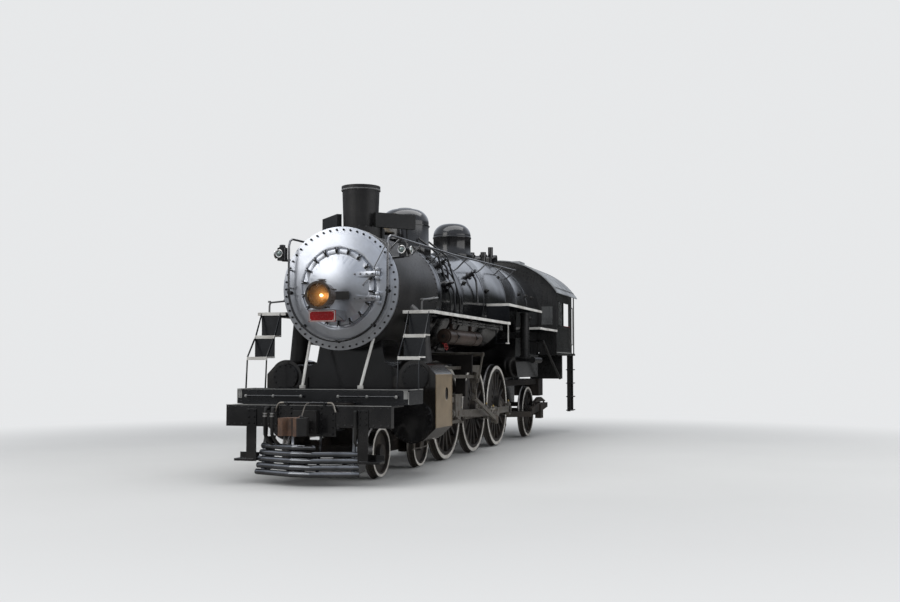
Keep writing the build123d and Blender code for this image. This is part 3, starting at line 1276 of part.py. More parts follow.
# Bell stand: a cast foot with two curved arms up to the bearings
with BuildPart() as bell_stand:
    seat_z = BOILER_Z + SMOKEBOX_R
    block((BELL_X - 110, BELL_X + 110), (-290, 290), (seat_z - 60, seat_z + 30))
    for side in SIDES:
        pipe(
            (
                (BELL_X, side * 250, seat_z - 60), (BELL_X, side * 330, seat_z + 130),
                (BELL_X, side * (BELL_ARM_Y + 30), BELL_AXIS_Z - 40),
            ), 26,
        )
        across(BELL_X, BELL_AXIS_Z, both(side, (BELL_ARM_Y, BELL_ARM_Y + 60)), 48)
        across(
            BELL_X, BELL_AXIS_Z, both(side, (BELL_ARM_Y - 5, BELL_ARM_Y + 65)),
            BELL_TRUNNION_R + FIT, mode=Mode.SUBTRACT,
        )
    along(0, BOILER_Z, SMOKEBOX_X, SMOKEBOX_R, mode=Mode.SUBTRACT)
save(bell_stand.part, "bell_stand")

# Bell: a flared bell under a yoke, hung on two trunnions
with BuildPart() as bell:
    across(BELL_X, BELL_AXIS_Z, (-BELL_ARM_Y - 50, BELL_ARM_Y + 50), BELL_TRUNNION_R)
    block((BELL_X - 34, BELL_X + 34), (-BELL_ARM_Y + 8, BELL_ARM_Y - 8), (BELL_AXIS_Z - 34, BELL_AXIS_Z + 60))
    bell_profile = (
        (0, 60), (40, 60), (40, 10), (105, -30), (125, -120), (150, -220), (BELL_R, -300),
        (BELL_R, -318), (190, -318), (128, -225), (100, -120), (80, -55), (0, -40),
    )
    with BuildSketch(Plane(origin=(BELL_X, 0, BELL_AXIS_Z), x_dir=(1, 0, 0), z_dir=(0, -1, 0))):
        with BuildLine():
            Polyline(*bell_profile, close=True)
        make_face()
    revolve(axis=Axis((BELL_X, 0, BELL_AXIS_Z), (0, 0, 1)))
    bar((BELL_X, 0, BELL_AXIS_Z - 255), (BELL_X, 0, BELL_AXIS_Z - 30), 12)
    with Locations((BELL_X, 0, BELL_AXIS_Z - 270)):
        Sphere(36)
save(bell.part, "bell")

# Number boards: two blank boards beside the stack, turned outwards, on legs
with BuildPart() as number_boards:
    for side in SIDES:
        board_x, board_y, board_z = NUMBER_BOARD
        with Locations(Location((board_x, side * board_y, board_z), (0, 0, side * NUMBER_BOARD_TURN))):
            Box(*NUMBER_BOARD_SIZE)
        for reach in (-250, 250):
            leg_x = board_x - reach * sin(radians(NUMBER_BOARD_TURN))
            leg_y = board_y + reach * cos(radians(NUMBER_BOARD_TURN))
            foot_z = BOILER_Z + sqrt(SMOKEBOX_R * SMOKEBOX_R - leg_y * leg_y)
            bar((leg_x, side * leg_y, foot_z - 60), (leg_x, side * leg_y, board_z), 18)
    along(0, BOILER_Z, SMOKEBOX_X, SMOKEBOX_R, mode=Mode.SUBTRACT)
save(number_boards.part, "number_boards")

# Marker lamps: one on a bracket each side of the smokebox
with BuildPart() as marker_lamps:
    for side in SIDES:
        lamp = (MAIN_X + 5400, side * 1134, RAIL_Z + 3800)
        bar((lamp[0], lamp[1], lamp[2] - 110), (lamp[0], lamp[1], lamp[2] + 110), 88)
        bar((lamp[0], lamp[1], lamp[2] + 105), (lamp[0], lamp[1], lamp[2] + 165), 48)
        along(lamp[1], lamp[2], (lamp[0], lamp[0] + 125), 66)
        across(lamp[0], lamp[2], both(side, (1134, 1134 + 120)), 66)
        bar((lamp[0], lamp[1], lamp[2] - 105), (lamp[0], side * 840, BOILER_Z + 500), 22)
    along(0, BOILER_Z, (MAIN_X + 5000, MAIN_X + 5800), SMOKEBOX_R, mode=Mode.SUBTRACT)
save(marker_lamps.part, "marker_lamps")

# Handrails: a long rail on posts along each side of the boiler
with BuildPart() as handrails:
    for side in SIDES:
        pipe(
            (
                (FRONT_RAIL_X, side * FRONT_RAIL_Y, FRONT_RAIL_Z[0]),
                (FRONT_RAIL_X, side * FRONT_RAIL_Y, FRONT_RAIL_Z[1]),
                (FRONT_RAIL_X - 45, side * FRONT_RAIL_Y, FRONT_RAIL_Z[1] + 90),
                (FRONT_RAIL_X - 130, side * FRONT_RAIL_Y, FRONT_RAIL_Z[1] + 130),
                *[(MAIN_X + offset, side * rail_y, RAIL_Z + rail_z) for offset, rail_y, rail_z in HANDRAIL_POINTS],
            ), HANDRAIL_R,
        )
        for level in (FRONT_RAIL_Z[0] + 20, FRONT_RAIL_Z[0] + 330):
            along(side * FRONT_RAIL_Y, level, (RING_X[1] - 40, FRONT_RAIL_X), 15)
        for offset in HANDRAIL_POSTS:
            front, back = HANDRAIL_POINTS[:2] if offset > HANDRAIL_POINTS[1][0] else HANDRAIL_POINTS[1:]
            share = (front[0] - offset) / (front[0] - back[0])
            rail_y = front[1] + share * (back[1] - front[1])
            rail_z = RAIL_Z + front[2] + share * (back[2] - front[2])
            reach = HANDRAIL_POST[0] / sqrt(rail_y ** 2 + (rail_z - BOILER_Z) ** 2)
            bar(
                (MAIN_X + offset, side * rail_y * (1 - reach), rail_z - reach * (rail_z - BOILER_Z)),
                (MAIN_X + offset, side * rail_y, rail_z), HANDRAIL_POST[1],
            )
    along(0, BOILER_Z, SMOKEBOX_X, SMOKEBOX_R, mode=Mode.SUBTRACT)
    add(smokebox_front.part, mode=Mode.SUBTRACT)
    add(boiler.part, mode=Mode.SUBTRACT)
    add(firebox.part, mode=Mode.SUBTRACT)
save(handrails.part, "handrails")

# Running boards: three levels each side, thin plates with a deep outer edge, on brackets
with BuildPart() as running_boards:
    for back_x, front_x, board_z, in_y, out_y in BOARDS:
        for side in SIDES:
            block((back_x, front_x), both(side, (in_y, out_y)), (board_z - BOARD_SKIN, board_z))
            block((back_x, front_x), both(side, (out_y - BOARD_SKIN, out_y)), (board_z - BOARD_EDGE, board_z))
            block((front_x - BOARD_SKIN, front_x), both(side, (in_y, out_y)), (board_z - BOARD_EDGE, board_z))
            count = max(2, round((front_x - back_x) / 1300))
            for number in range(count):
                place = back_x + (front_x - back_x) * (number + 0.5) / count
                block(
                    (place - 14, place + 14), both(side, (880, out_y - BOARD_SKIN)),
                    (board_z - BOARD_EDGE, board_z - BOARD_SKIN),
                )
    for side in SIDES:
        block(
            (BOARDS[1][1] - BOARD_SKIN, BOARDS[1][1]), both(side, (BOARDS[1][3], BOARDS[1][4])),
            (BOARDS[0][2] - BOARD_SKIN, BOARDS[1][2] - BOARD_SKIN),
        )
        for post_y in HANGER_YS:
            block(
                HANGER_X, both(side, (post_y - 11, post_y + 11)),
                (HANGER_Z - STEP_SKIN, BOARDS[0][2] - BOARD_SKIN),
            )
        block(
            (HANGER_X[0] - 60, HANGER_X[1] + 160), both(side, (HANGER_YS[0], HANGER_YS[1] + 11)),
            (HANGER_Z - STEP_SKIN, HANGER_Z),
        )
    along(0, BOILER_Z, SMOKEBOX_X, SMOKEBOX_R, mode=Mode.SUBTRACT)
    add(boiler.part, mode=Mode.SUBTRACT)
    add(firebox.part, mode=Mode.SUBTRACT)
    add(steam_pipes.part, mode=Mode.SUBTRACT)
save(running_boards.part, "running_boards")

# Board steps: the treads from the front deck up to the running boards
with BuildPart() as board_steps:
    for side in SIDES:
        for back_x, front_x, step_z, riser_z in FRONT_STEPS:
            block((back_x, front_x), both(side, STEP_Y), (step_z - STEP_SKIN, step_z))
            block((front_x - BOARD_SKIN, front_x), both(side, STEP_Y), (step_z - BOARD_EDGE, step_z))
            block((back_x, back_x + 12), both(side, STEP_Y), (step_z - STEP_SKIN, riser_z))
        for edge_y in (STEP_Y[0] + 6, STEP_Y[1] - 6):
            side_plate(
                (
                    (MAIN_X + 5310, BOARDS[0][2] - BOARD_SKIN), (MAIN_X + 5343, BOARDS[0][2] - BOARD_SKIN),
                    (FRONT_STEPS[0][1], FRONT_STEPS[0][2]), (FRONT_STEPS[1][1], FRONT_STEPS[1][2]),
                    (MAIN_X + 5900, DECK_Z[1]), (MAIN_X + 5860, DECK_Z[1]),
                    (FRONT_STEPS[1][1] - 35, FRONT_STEPS[1][2] - 11),
                    (FRONT_STEPS[0][1] - 35, FRONT_STEPS[0][2] - 19),
                ),
                both(side, (edge_y - 6, edge_y + 6)),
            )
    add(running_boards.part, mode=Mode.SUBTRACT)
save(board_steps.part, "board_steps")

# Air reservoirs: a banded drum with dished ends under each running board
with BuildPart() as air_reservoirs:
    for side in SIDES:
        drum_y = side * RESERVOIR_Y
        along(drum_y, RESERVOIR_Z, RESERVOIR_X, RESERVOIR_R)
        along(drum_y, RESERVOIR_Z, (RESERVOIR_X[0] - 35, RESERVOIR_X[1] + 35), RESERVOIR_R - 32)
        for band_x in (RESERVOIR_X[0] + 420, RESERVOIR_X[1] - 420):
            along(drum_y, RESERVOIR_Z, (band_x - 32, band_x + 32), RESERVOIR_R + 9)
            block(
                (band_x - 32, band_x + 32), both(side, (RESERVOIR_Y - 30, RESERVOIR_Y + 30)),
                (RESERVOIR_Z + RESERVOIR_R - 10, BOARDS[0][2] - BOARD_SKIN),
            )
save(air_reservoirs.part, "air_reservoirs")

# Air pump: two stacked cylinders with finned lower end, on the right side of the boiler
with BuildPart() as air_pump:
    pump = (MAIN_X - 900, -1420)
    for low, high, radius in ((2010, 2420, 185), (2560, 2960, 165), (2420, 2560, 70)):
        bar((pump[0], pump[1], RAIL_Z + low), (pump[0], pump[1], RAIL_Z + high), radius)
    for number in range(7):
        fin = RAIL_Z + 2050 + 52 * number
        bar((pump[0], pump[1], fin), (pump[0], pump[1], fin + 18), 205)
    bar((pump[0], pump[1], RAIL_Z + 2950), (pump[0], pump[1], RAIL_Z + 3030), 90)
    block((pump[0] - 130, pump[0] + 130), (-1300, -850), (RAIL_Z + 2640, RAIL_Z + 2860))
    add(boiler.part, mode=Mode.SUBTRACT)
save(air_pump.part, "air_pump")

# Boiler pipes: cooling pipes, the tall left feed cylinder, injector piping and sand pipes
with BuildPart() as boiler_pipes:
    for side in SIDES:
        for level in (2665, 2720):
            along(side * 1500, RAIL_Z + level - 40, (MAIN_X + 200, MAIN_X + 3900), 22)
        for offset in (500, 3600):
            block(
                (MAIN_X + offset - 12, MAIN_X + offset + 12), both(side, (1470, 1530)),
                (RAIL_Z + 2610, BOARDS[0][2] - BOARD_SKIN),
            )
        for offset in (SAND_DOME_X - MAIN_X + 320, SAND_DOME_X - MAIN_X - 320):
            pipe(
                (
                    (MAIN_X + offset, side * 400, RAIL_Z + 4360), (MAIN_X + offset, side * 780, RAIL_Z + 4060),
                    (MAIN_X + offset, side * 1060, RAIL_Z + 3200),
                    (MAIN_X + offset, side * 1060, RAIL_Z + 2700),
                    (MAIN_X + offset, side * 745, RAIL_Z + 2120),
                ), 19,
            )
    bar((MAIN_X - 2300, 1420, RAIL_Z + 2030), (MAIN_X - 2300, 1420, RAIL_Z + 3098), 105)
    bar((MAIN_X - 2300, 1420, RAIL_Z + 2050), (MAIN_X - 2300, 1420, RAIL_Z + 2090), 130)
    bar((MAIN_X - 2300, 1420, RAIL_Z + 3040), (MAIN_X - 2300, 1420, RAIL_Z + 3075), 130)
    block((MAIN_X - 2350, MAIN_X - 2250), (750, 1400), (RAIL_Z + 2500, RAIL_Z + 2640))
    for side in SIDES:
        pipe(
            (
                (MAIN_X - 4400, side * 1040, RAIL_Z + 2480), (MAIN_X - 4400, side * 1400, RAIL_Z + 2480),
                (MAIN_X - 5200, side * 1400, RAIL_Z + 2100), (MAIN_X - 6600, side * 1400, RAIL_Z + 1500),
            ), 34,
        )
        along(side * 1330, RAIL_Z + 1990, (MAIN_X - 3500, MAIN_X - 4300), 78)
        block(
            (MAIN_X - 3950, MAIN_X - 3850), both(side, (1000, 1330)), (RAIL_Z + 1950, RAIL_Z + 2030),
        )
    add(boiler.part, mode=Mode.SUBTRACT)
    add(firebox.part, mode=Mode.SUBTRACT)
    add(sand_dome.part, mode=Mode.SUBTRACT)
save(boiler_pipes.part, "boiler_pipes")

# Front deck: the wide plate with a deep front, over the frame
with BuildPart() as front_deck:
    block(DECK_X, (-DECK_HALF, DECK_HALF), (DECK_Z[1] - 40, DECK_Z[1]))
    block((DECK_X[1] - 60, DECK_X[1]), (-DECK_HALF, DECK_HALF), DECK_Z)
    for side in SIDES:
        block(DECK_X, both(side, (560, 620)), (FRAME_TOP_Z, DECK_Z[1] - 38))
        block(DECK_X, both(side, (DECK_HALF - 40, DECK_HALF)), DECK_Z)
    add(main_frame.part, mode=Mode.SUBTRACT)
save(front_deck.part, "front_deck")

# Pilot beam: the deep buffer beam with its top flange
with BuildPart() as pilot_beam:
    block((BEAM_X[0] + 60, BEAM_X[1]), (-BEAM_HALF, BEAM_HALF), BEAM_Z)
    block(
        (BEAM_X[1] - 30, BEAM_X[1] + BEAM_POCKET[0]), (-BEAM_POCKET[1], BEAM_POCKET[1]),
        (BEAM_POCKET[2], BEAM_Z[1]),
    )
    block((DECK_X[1] - 40, BEAM_X[1]), (-BEAM_HALF, BEAM_HALF), (BEAM_Z[1] - 24, BEAM_Z[1]))
    block((BEAM_X[0] - 60, BEAM_X[0] + 70), (-BEAM_HALF + 60, BEAM_HALF - 60), (BEAM_Z[0] + 40, BEAM_Z[0] + 70))
    add(main_frame.part, mode=Mode.SUBTRACT)
    add(front_deck.part, mode=Mode.SUBTRACT)
save(pilot_beam.part, "pilot_beam")

# Coupler: shank, head and hooked knuckle on the centre line, under a cast pocket
with BuildPart() as coupler:
    block((BEAM_X[1], BEAM_X[1] + 90), (-205, 205), (COUPLER_Z - 130, COUPLER_Z + 240))
    block((BEAM_X[1], COUPLER_TIP_X - 260), (-75, 75), (COUPLER_Z - 80, COUPLER_Z + 80))
    with BuildSketch(Plane.XY.offset(COUPLER_Z - 140)):
        with BuildLine():
            Polyline(
                (COUPLER_TIP_X - 330, -100), (COUPLER_TIP_X - 180, -230), (COUPLER_TIP_X - 20, -250),
                (COUPLER_TIP_X - 30, -175), (COUPLER_TIP_X - 120, -130), (COUPLER_TIP_X - 120, 0),
                (COUPLER_TIP_X - 60, 30), (COUPLER_TIP_X, 20), (COUPLER_TIP_X, 110),
                (COUPLER_TIP_X - 100, 200), (COUPLER_TIP_X - 330, 130), close=True,
            )
        make_face()
    extrude(amount=280)
    add(pilot_beam.part, mode=Mode.SUBTRACT)
save(coupler.part, "coupler")

# Pilot: round ribs stacked into two facets and a nose, on upright posts with side plates
with BuildPart() as pilot:
    for number in range(PILOT_RIBS):
        share = number / (PILOT_RIBS - 1)
        side_x = PILOT_LOW[0] + share * (PILOT_HIGH[0] - PILOT_LOW[0])
        half = PILOT_LOW[1] + share * (PILOT_HIGH[1] - PILOT_LOW[1])
        nose_x = PILOT_LOW[3] + share * (PILOT_HIGH[3] - PILOT_LOW[3])
        base = PILOT_LOW[2] + PILOT_RIB_R
        rib_z = base + share * (PILOT_HIGH[2] - PILOT_RIB_R - base)
        across(nose_x, rib_z, (-PILOT_NOSE_HALF, PILOT_NOSE_HALF), PILOT_RIB_R)
        for side in SIDES:
            bar((nose_x, side * PILOT_NOSE_HALF, rib_z), (side_x, side * half, rib_z), PILOT_RIB_R)
            with Locations((nose_x, side * PILOT_NOSE_HALF, rib_z)):
                Sphere(PILOT_RIB_R + 0.5)
    for side in SIDES:
        for post_y, low_x, high_x in PILOT_POSTS:
            side_plate(
                (
                    (low_x - 60, PILOT_LOW[2] + 20), (low_x, PILOT_LOW[2] + 20),
                    (high_x, PILOT_HIGH[2]), (high_x, BEAM_Z[0]), (high_x - 70, BEAM_Z[0]),
                ),
                both(side, (post_y - 20, post_y + 20)),
            )
        side_plate(
            (
                (PILOT_LOW[0] - PILOT_SIDE_DEPTH, PILOT_LOW[2] + 60), (PILOT_LOW[0], PILOT_LOW[2] + 20),
                (PILOT_HIGH[0], PILOT_HIGH[2]), (PILOT_HIGH[0] - 40, PILOT_HIGH[2] + 90),
                (PILOT_HIGH[0] - PILOT_SIDE_DEPTH, PILOT_HIGH[2] + 90),
            ),
            both(side, PILOT_SIDE_Y),
        )
    add(pilot_beam.part, mode=Mode.SUBTRACT)
save(pilot.part, "pilot")

# Footboards: a tread each side of the pilot on a broad strap from the beam's face
with BuildPart() as footboards:
    for side in SIDES:
        block(FOOTBOARD_X, both(side, FOOTBOARD_Y), (FOOTBOARD_Z - 40, FOOTBOARD_Z))
        block(
            (FOOTBOARD_X[0], FOOTBOARD_X[0] + 16), both(side, FOOTBOARD_Y),
            (FOOTBOARD_Z - 40, FOOTBOARD_Z + 90),
        )
        block(
            (BEAM_X[1], BEAM_X[1] + FOOTBOARD_STRAP), both(side, FOOTBOARD_STRAP_Y),
            (FOOTBOARD_Z - 40, BEAM_Z[1] - 60),
        )
save(footboards.part, "footboards")

# Front rails: two handrails on the deck's face, the cutting lever and the braces to the smokebox
with BuildPart() as front_rails:
    for side in SIDES:
        bar(
            (MAIN_X + 5835, side * 527, DECK_Z[1] + 34), (MAIN_X + 5384, side * 586, RAIL_Z + 2340), 24,
        )
        block(
            (MAIN_X + 5790, MAIN_X + 5880), both(side, (490, 560)), (DECK_Z[1], DECK_Z[1] + 60),
        )
        across(DECK_RAIL_X, DECK_RAIL_Z, both(side, DECK_RAIL_Y), 15)
        for post_y in DECK_RAIL_Y:
            along(side * post_y, DECK_RAIL_Z, (DECK_X[1], DECK_RAIL_X), 15)
            with Locations((DECK_RAIL_X, side * post_y, DECK_RAIL_Z)):
                Sphere(17)
    across(LEVER_X, LEVER_Z, (-LEVER_HALF, LEVER_HALF), 13)
    for lever_y in (60 - LEVER_HALF, LEVER_HALF - 60):
        block(
            (BEAM_X[1] - 20, LEVER_X + 12), (lever_y - 16, lever_y + 16), (BEAM_Z[1], LEVER_Z + 12),
        )
    along(0, BOILER_Z, SMOKEBOX_X, SMOKEBOX_R, mode=Mode.SUBTRACT)
    along(0, BOILER_Z, RING_X, RING_R, mode=Mode.SUBTRACT)
save(front_rails.part, "front_rails")

# Air hoses: two hoses down from the beam to hooks on the pilot, and a pipe beside the left strap
with BuildPart() as air_hoses:
    for hose_y in HOSE_YS:
        pipe(
            (
                (BEAM_X[1], hose_y, BEAM_Z[1] - 50), (BEAM_X[1] + HOSE_OUT, hose_y, BEAM_Z[1] - 50),
                (BEAM_X[1] + HOSE_OUT + 30, hose_y, BEAM_Z[1] - 160),
                (BEAM_X[1] + HOSE_OUT + 20, hose_y, PILOT_HIGH[2] + 150),
                (BEAM_X[1] + HOSE_OUT - 30, hose_y + 40, PILOT_HIGH[2] + 40),
                (BEAM_X[1] - 20, hose_y + 60, PILOT_HIGH[2] - 20),
            ), HOSE_R,
        )
    pipe(
        (
            (BEAM_X[1], PIPE_Y, BEAM_Z[1] - 90), (BEAM_X[1] + 60, PIPE_Y, BEAM_Z[1] - 90),
            (BEAM_X[1] + 60, PIPE_Y, FOOTBOARD_Z + 300), (BEAM_X[1] - 60, PIPE_Y - 20, FOOTBOARD_Z + 240),
        ), 22,
    )
    add(pilot.part, mode=Mode.SUBTRACT)
save(air_hoses.part, "air_hoses")

# Cab front: the plate round the firebox with two tall windows
with BuildPart() as cab_front:
    with BuildSketch(cross_plane(CAB_FRONT_X - CAB_SKIN)):
        with Locations((0, (CAB_FLOOR_Z + CAB_EAVE_Z) / 2)):
            Rectangle(2 * CAB_HALF, CAB_EAVE_Z - CAB_FLOOR_Z)
        with BuildLine():
            ThreePointArc((-CAB_HALF, CAB_EAVE_Z), (0, CAB_CREST_Z), (CAB_HALF, CAB_EAVE_Z))
            Line((CAB_HALF, CAB_EAVE_Z), (-CAB_HALF, CAB_EAVE_Z))
        make_face()
        with Locations((0, FIREBOX_Z)):
            Circle(BARREL_BACK_R - 58, mode=Mode.SUBTRACT)
        with Locations((0, (CAB_FLOOR_Z + FIREBOX_Z) / 2)):
            Rectangle(2 * (BARREL_BACK_R - 58), FIREBOX_Z - CAB_FLOOR_Z + 2, mode=Mode.SUBTRACT)
        for side in SIDES:
            with Locations((side * sum(FRONT_WINDOW_Y) / 2, sum(FRONT_WINDOW_Z) / 2)):
                Rectangle(
                    FRONT_WINDOW_Y[1] - FRONT_WINDOW_Y[0], FRONT_WINDOW_Z[1] - FRONT_WINDOW_Z[0],
                    mode=Mode.SUBTRACT,
                )
    extrude(amount=CAB_SKIN)
save(cab_front.part, "cab_front")

# Cab sides: one plate each side with two windows over a sill
for side, side_name in ((1, "left"), (-1, "right")):
    with BuildPart() as cab_side:
        block(
            (CAB_FRONT_X - CAB_SKIN, CAB_SIDE_BACK_X), both(side, (CAB_HALF - CAB_SKIN, CAB_HALF)),
            (CAB_FLOOR_Z, CAB_EAVE_Z),
        )
        for back_x, front_x in CAB_WINDOWS:
            block(
                (back_x, front_x), both(side, (CAB_HALF - 60, CAB_HALF + 60)), (CAB_SILL_Z, WINDOW_TOP_Z),
                mode=Mode.SUBTRACT,
            )
        block(
            (CAB_WINDOWS[0][0] + 60, CAB_WINDOWS[1][1] - 60), both(side, (CAB_HALF - 90, CAB_HALF + 40)),
            (CAB_SILL_Z - 55, CAB_SILL_Z),
        )
        for rail_x in (CAB_SIDE_BACK_X - 40, CAB_BACK_X + 60):
            bar(
                (rail_x, side * (CAB_HALF - 30), CAB_FLOOR_Z),
                (rail_x, side * (CAB_HALF - 30), CAB_EAVE_Z + 18), 17,
            )
        bar(
            (CAB_SIDE_BACK_X - 40, side * (CAB_HALF - 30), CAB_SILL_Z),
            (CAB_SIDE_BACK_X + 10, side * (CAB_HALF - 15), CAB_SILL_Z), 12,
        )
    save(cab_side.part, "cab_side_" + side_name)

# Cab roof: an arched plate with an overhang and a sliding hatch
with BuildPart() as cab_roof:
    roof_axis_z = CAB_CREST_Z - ROOF_R
    roof_edge = CAB_HALF + 55
    edge_z = roof_axis_z + sqrt(ROOF_R * ROOF_R - CAB_HALF * CAB_HALF) - 52
    with BuildSketch(cross_plane(CAB_BACK_X - 60)):
        with Locations((0, roof_axis_z)):
            Circle(ROOF_R + 28)
            Circle(ROOF_R, mode=Mode.SUBTRACT)
        with Locations((0, CAB_CREST_Z)):
            Rectangle(2 * roof_edge, 2 * (CAB_CREST_Z - edge_z), mode=Mode.INTERSECT)
    extrude(amount=CAB_FRONT_X - CAB_BACK_X + 160)
    block((CAB_FRONT_X - 1300, CAB_FRONT_X - 700), (-420, 420), (CAB_CREST_Z - 30, CAB_CREST_Z + 75))
    along(0, roof_axis_z, (CAB_BACK_X - 80, CAB_FRONT_X + 200), ROOF_R, mode=Mode.SUBTRACT)
save(cab_roof.part, "cab_roof")

# Cab floor: the deck plate with its apron, seats and the hanging steps at the back
with BuildPart() as cab_floor:
    block((CAB_BACK_X, BACKHEAD_X - 2), (-CAB_HALF, CAB_HALF), (CAB_FLOOR_Z - 60, CAB_FLOOR_Z))
    for side in SIDES:
        block((BACKHEAD_X - 10, CAB_FRONT_X), both(side, (1115, CAB_HALF)), (CAB_FLOOR_Z - 60, CAB_FLOOR_Z))
        block(
            (CAB_FRONT_X - 700, CAB_FRONT_X - 1250), both(side, (1180, 1540)),
            (CAB_FLOOR_Z - 5, CAB_FLOOR_Z + 480),
        )
        block((FRAME_BACK_X + 100, FRAME_BACK_X + 260), both(side, (400, 1300)), (FRAME_REAR_TOP_Z, CAB_FLOOR_Z - 58))
        for rail_x in (CAB_BACK_X + 30, CAB_BACK_X + 480):
            block(
                (rail_x, rail_x + 22), both(side, (1430, 1520)), (RAIL_Z + 560, CAB_FLOOR_Z - 58),
            )
        for tread_z in (580, 960, 1340, 1720):
            block(
                (CAB_BACK_X + 30, CAB_BACK_X + 502), both(side, (1400, 1575)),
                (RAIL_Z + tread_z, RAIL_Z + tread_z + 26),
            )
save(cab_floor.part, "cab_floor")

# Cab glass: the panes of the front and side windows
with BuildPart() as cab_glass:
    for side in SIDES:
        block(
            (CAB_FRONT_X - CAB_SKIN + 8, CAB_FRONT_X - CAB_SKIN + 16), both(side, FRONT_WINDOW_Y),
            FRONT_WINDOW_Z,
        )
        block(
            CAB_WINDOWS[0], both(side, (CAB_HALF - 17, CAB_HALF - 9)),
            (CAB_SILL_Z, WINDOW_TOP_Z),
        )
save(cab_glass.part, "cab_glass")

# Backhead fittings: fire door, gauges, water glass and levers on the boiler's back
with BuildPart() as backhead_fittings:
    block((BACKHEAD_X - 50, BACKHEAD_X), (-330, 330), (CAB_FLOOR_Z + 420, CAB_FLOOR_Z + 900))
    for gauge_y, gauge_z, gauge_r in ((-330, 1650, 110), (0, 1720, 130), (330, 1650, 110)):
        along(gauge_y, CAB_FLOOR_Z + gauge_z, (BACKHEAD_X - 60, BACKHEAD_X), gauge_r)
    for side in SIDES:
        bar(
            (BACKHEAD_X - 60, side * 560, CAB_FLOOR_Z + 1050), (BACKHEAD_X - 60, side * 560, CAB_FLOOR_Z + 1450),
            22,
        )
        for level in (1080, 1420):
            along(side * 560, CAB_FLOOR_Z + level, (BACKHEAD_X - 60, BACKHEAD_X), 20)
    across(BACKHEAD_X - 90, CAB_FLOOR_Z + 1560, (-700, 120), 20)
    for grip_y in (-650, -200):
        along(grip_y, CAB_FLOOR_Z + 1560, (BACKHEAD_X - 90, BACKHEAD_X), 16)
save(backhead_fittings.part, "backhead_fittings")
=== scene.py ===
import json
import math

import bmesh
import bpy
from mathutils import Matrix, Vector
from mathutils.bvhtree import BVHTree


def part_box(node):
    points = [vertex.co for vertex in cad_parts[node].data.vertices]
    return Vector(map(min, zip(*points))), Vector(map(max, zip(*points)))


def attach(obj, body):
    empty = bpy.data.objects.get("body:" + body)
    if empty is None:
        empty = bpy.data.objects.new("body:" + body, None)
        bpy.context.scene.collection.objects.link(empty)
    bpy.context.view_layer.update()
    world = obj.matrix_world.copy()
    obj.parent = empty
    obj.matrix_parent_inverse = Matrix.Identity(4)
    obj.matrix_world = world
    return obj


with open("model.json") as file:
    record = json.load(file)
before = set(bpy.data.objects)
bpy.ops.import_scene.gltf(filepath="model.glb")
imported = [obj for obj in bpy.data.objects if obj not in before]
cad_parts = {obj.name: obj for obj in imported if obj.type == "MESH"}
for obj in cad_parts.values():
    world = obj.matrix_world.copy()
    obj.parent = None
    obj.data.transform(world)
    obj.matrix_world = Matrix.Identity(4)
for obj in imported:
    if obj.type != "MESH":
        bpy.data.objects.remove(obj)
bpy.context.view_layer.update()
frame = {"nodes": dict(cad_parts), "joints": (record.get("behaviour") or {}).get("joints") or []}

# Places of the axles from the frame, in metres
AXLE_AT = {joint["name"]: joint["pos_m"] for joint in frame["joints"] if "pos_m" in joint}
DRIVER_XS = [AXLE_AT["driver_axle_%d_turn" % number][0] for number in (1, 2, 3)]
MAIN_X = DRIVER_XS[1]
AXLE_Z = AXLE_AT["driver_axle_2_turn"][2]

# The rail's height above the floor, the crank's throw, and the outer faces of wheels and casings, in metres
RAIL_Z = 0.028
CRANK_R = 0.381
WHEEL_FACE_Y = 0.8165
CASING_FACE_Y = 1.585

# Heights above the rail of the boiler's axis, the smokebox door and the headlight, in millimetres
AXIS_Z = 3174
DOOR_Z = 3189
LAMP_Z = 3000

# Running boards: back end, front end, top, inner and outer edges, in millimetres
BOARD_RUNS = (
    (-60, 5343, 2786, 1090, 1630),
    (-3400, -60, 3200, 1090, 1600),
    (-5300, -3200, 2790, 1115, 1600),
)

# Directions
SIDES = (1, -1)
FORWARD = Vector((1, 0, 0))
BACK = Vector((-1, 0, 0))
UP = Vector((0, 0, 1))
DOWN = Vector((0, 0, -1))

# The camera's place in metres, its turn and pitch, and its lens and sensor in millimetres
CAMERA_PLACE = Vector((MAIN_X + 22.1936, 7.1447, RAIL_Z + 1.8527))
CAMERA_TURN = math.radians(17.2015)
CAMERA_PITCH = math.radians(3.4888)
CAMERA_LENS = 42.32
SENSOR = 36.0

# The backdrop, the distances over which the floor fades into it, and the floor as metal mirrors it
BACKDROP = (0.80, 0.81, 0.82)
FADE_FROM = 6.0
FADE_TO = 17.0
MIRRORED_FLOOR = (0.20, 0.19, 0.175)


def at(x, y, z):
    """A place in millimetres ahead of the main axle, left of the middle and above the rail."""
    return Vector((MAIN_X + x / 1000, y / 1000, RAIL_Z + z / 1000))


def on_circle(x, radius, turn, centre_z=AXIS_Z, centre_y=0.0):
    """A place on a crosswise circle, in millimetres, at a turn in degrees from the left."""
    angle = math.radians(turn)
    return at(x, centre_y + radius * math.cos(angle), centre_z + radius * math.sin(angle))


def around(count, start=0.0):
    """Cosine and sine of evenly spaced turns, the first of them at a part of a step."""
    for number in range(count):
        angle = math.tau * (number + start) / count
        yield math.cos(angle), math.sin(angle)


def outward(side):
    """The direction away from the middle on one side."""
    return Vector((0, side, 0))


# Shader building

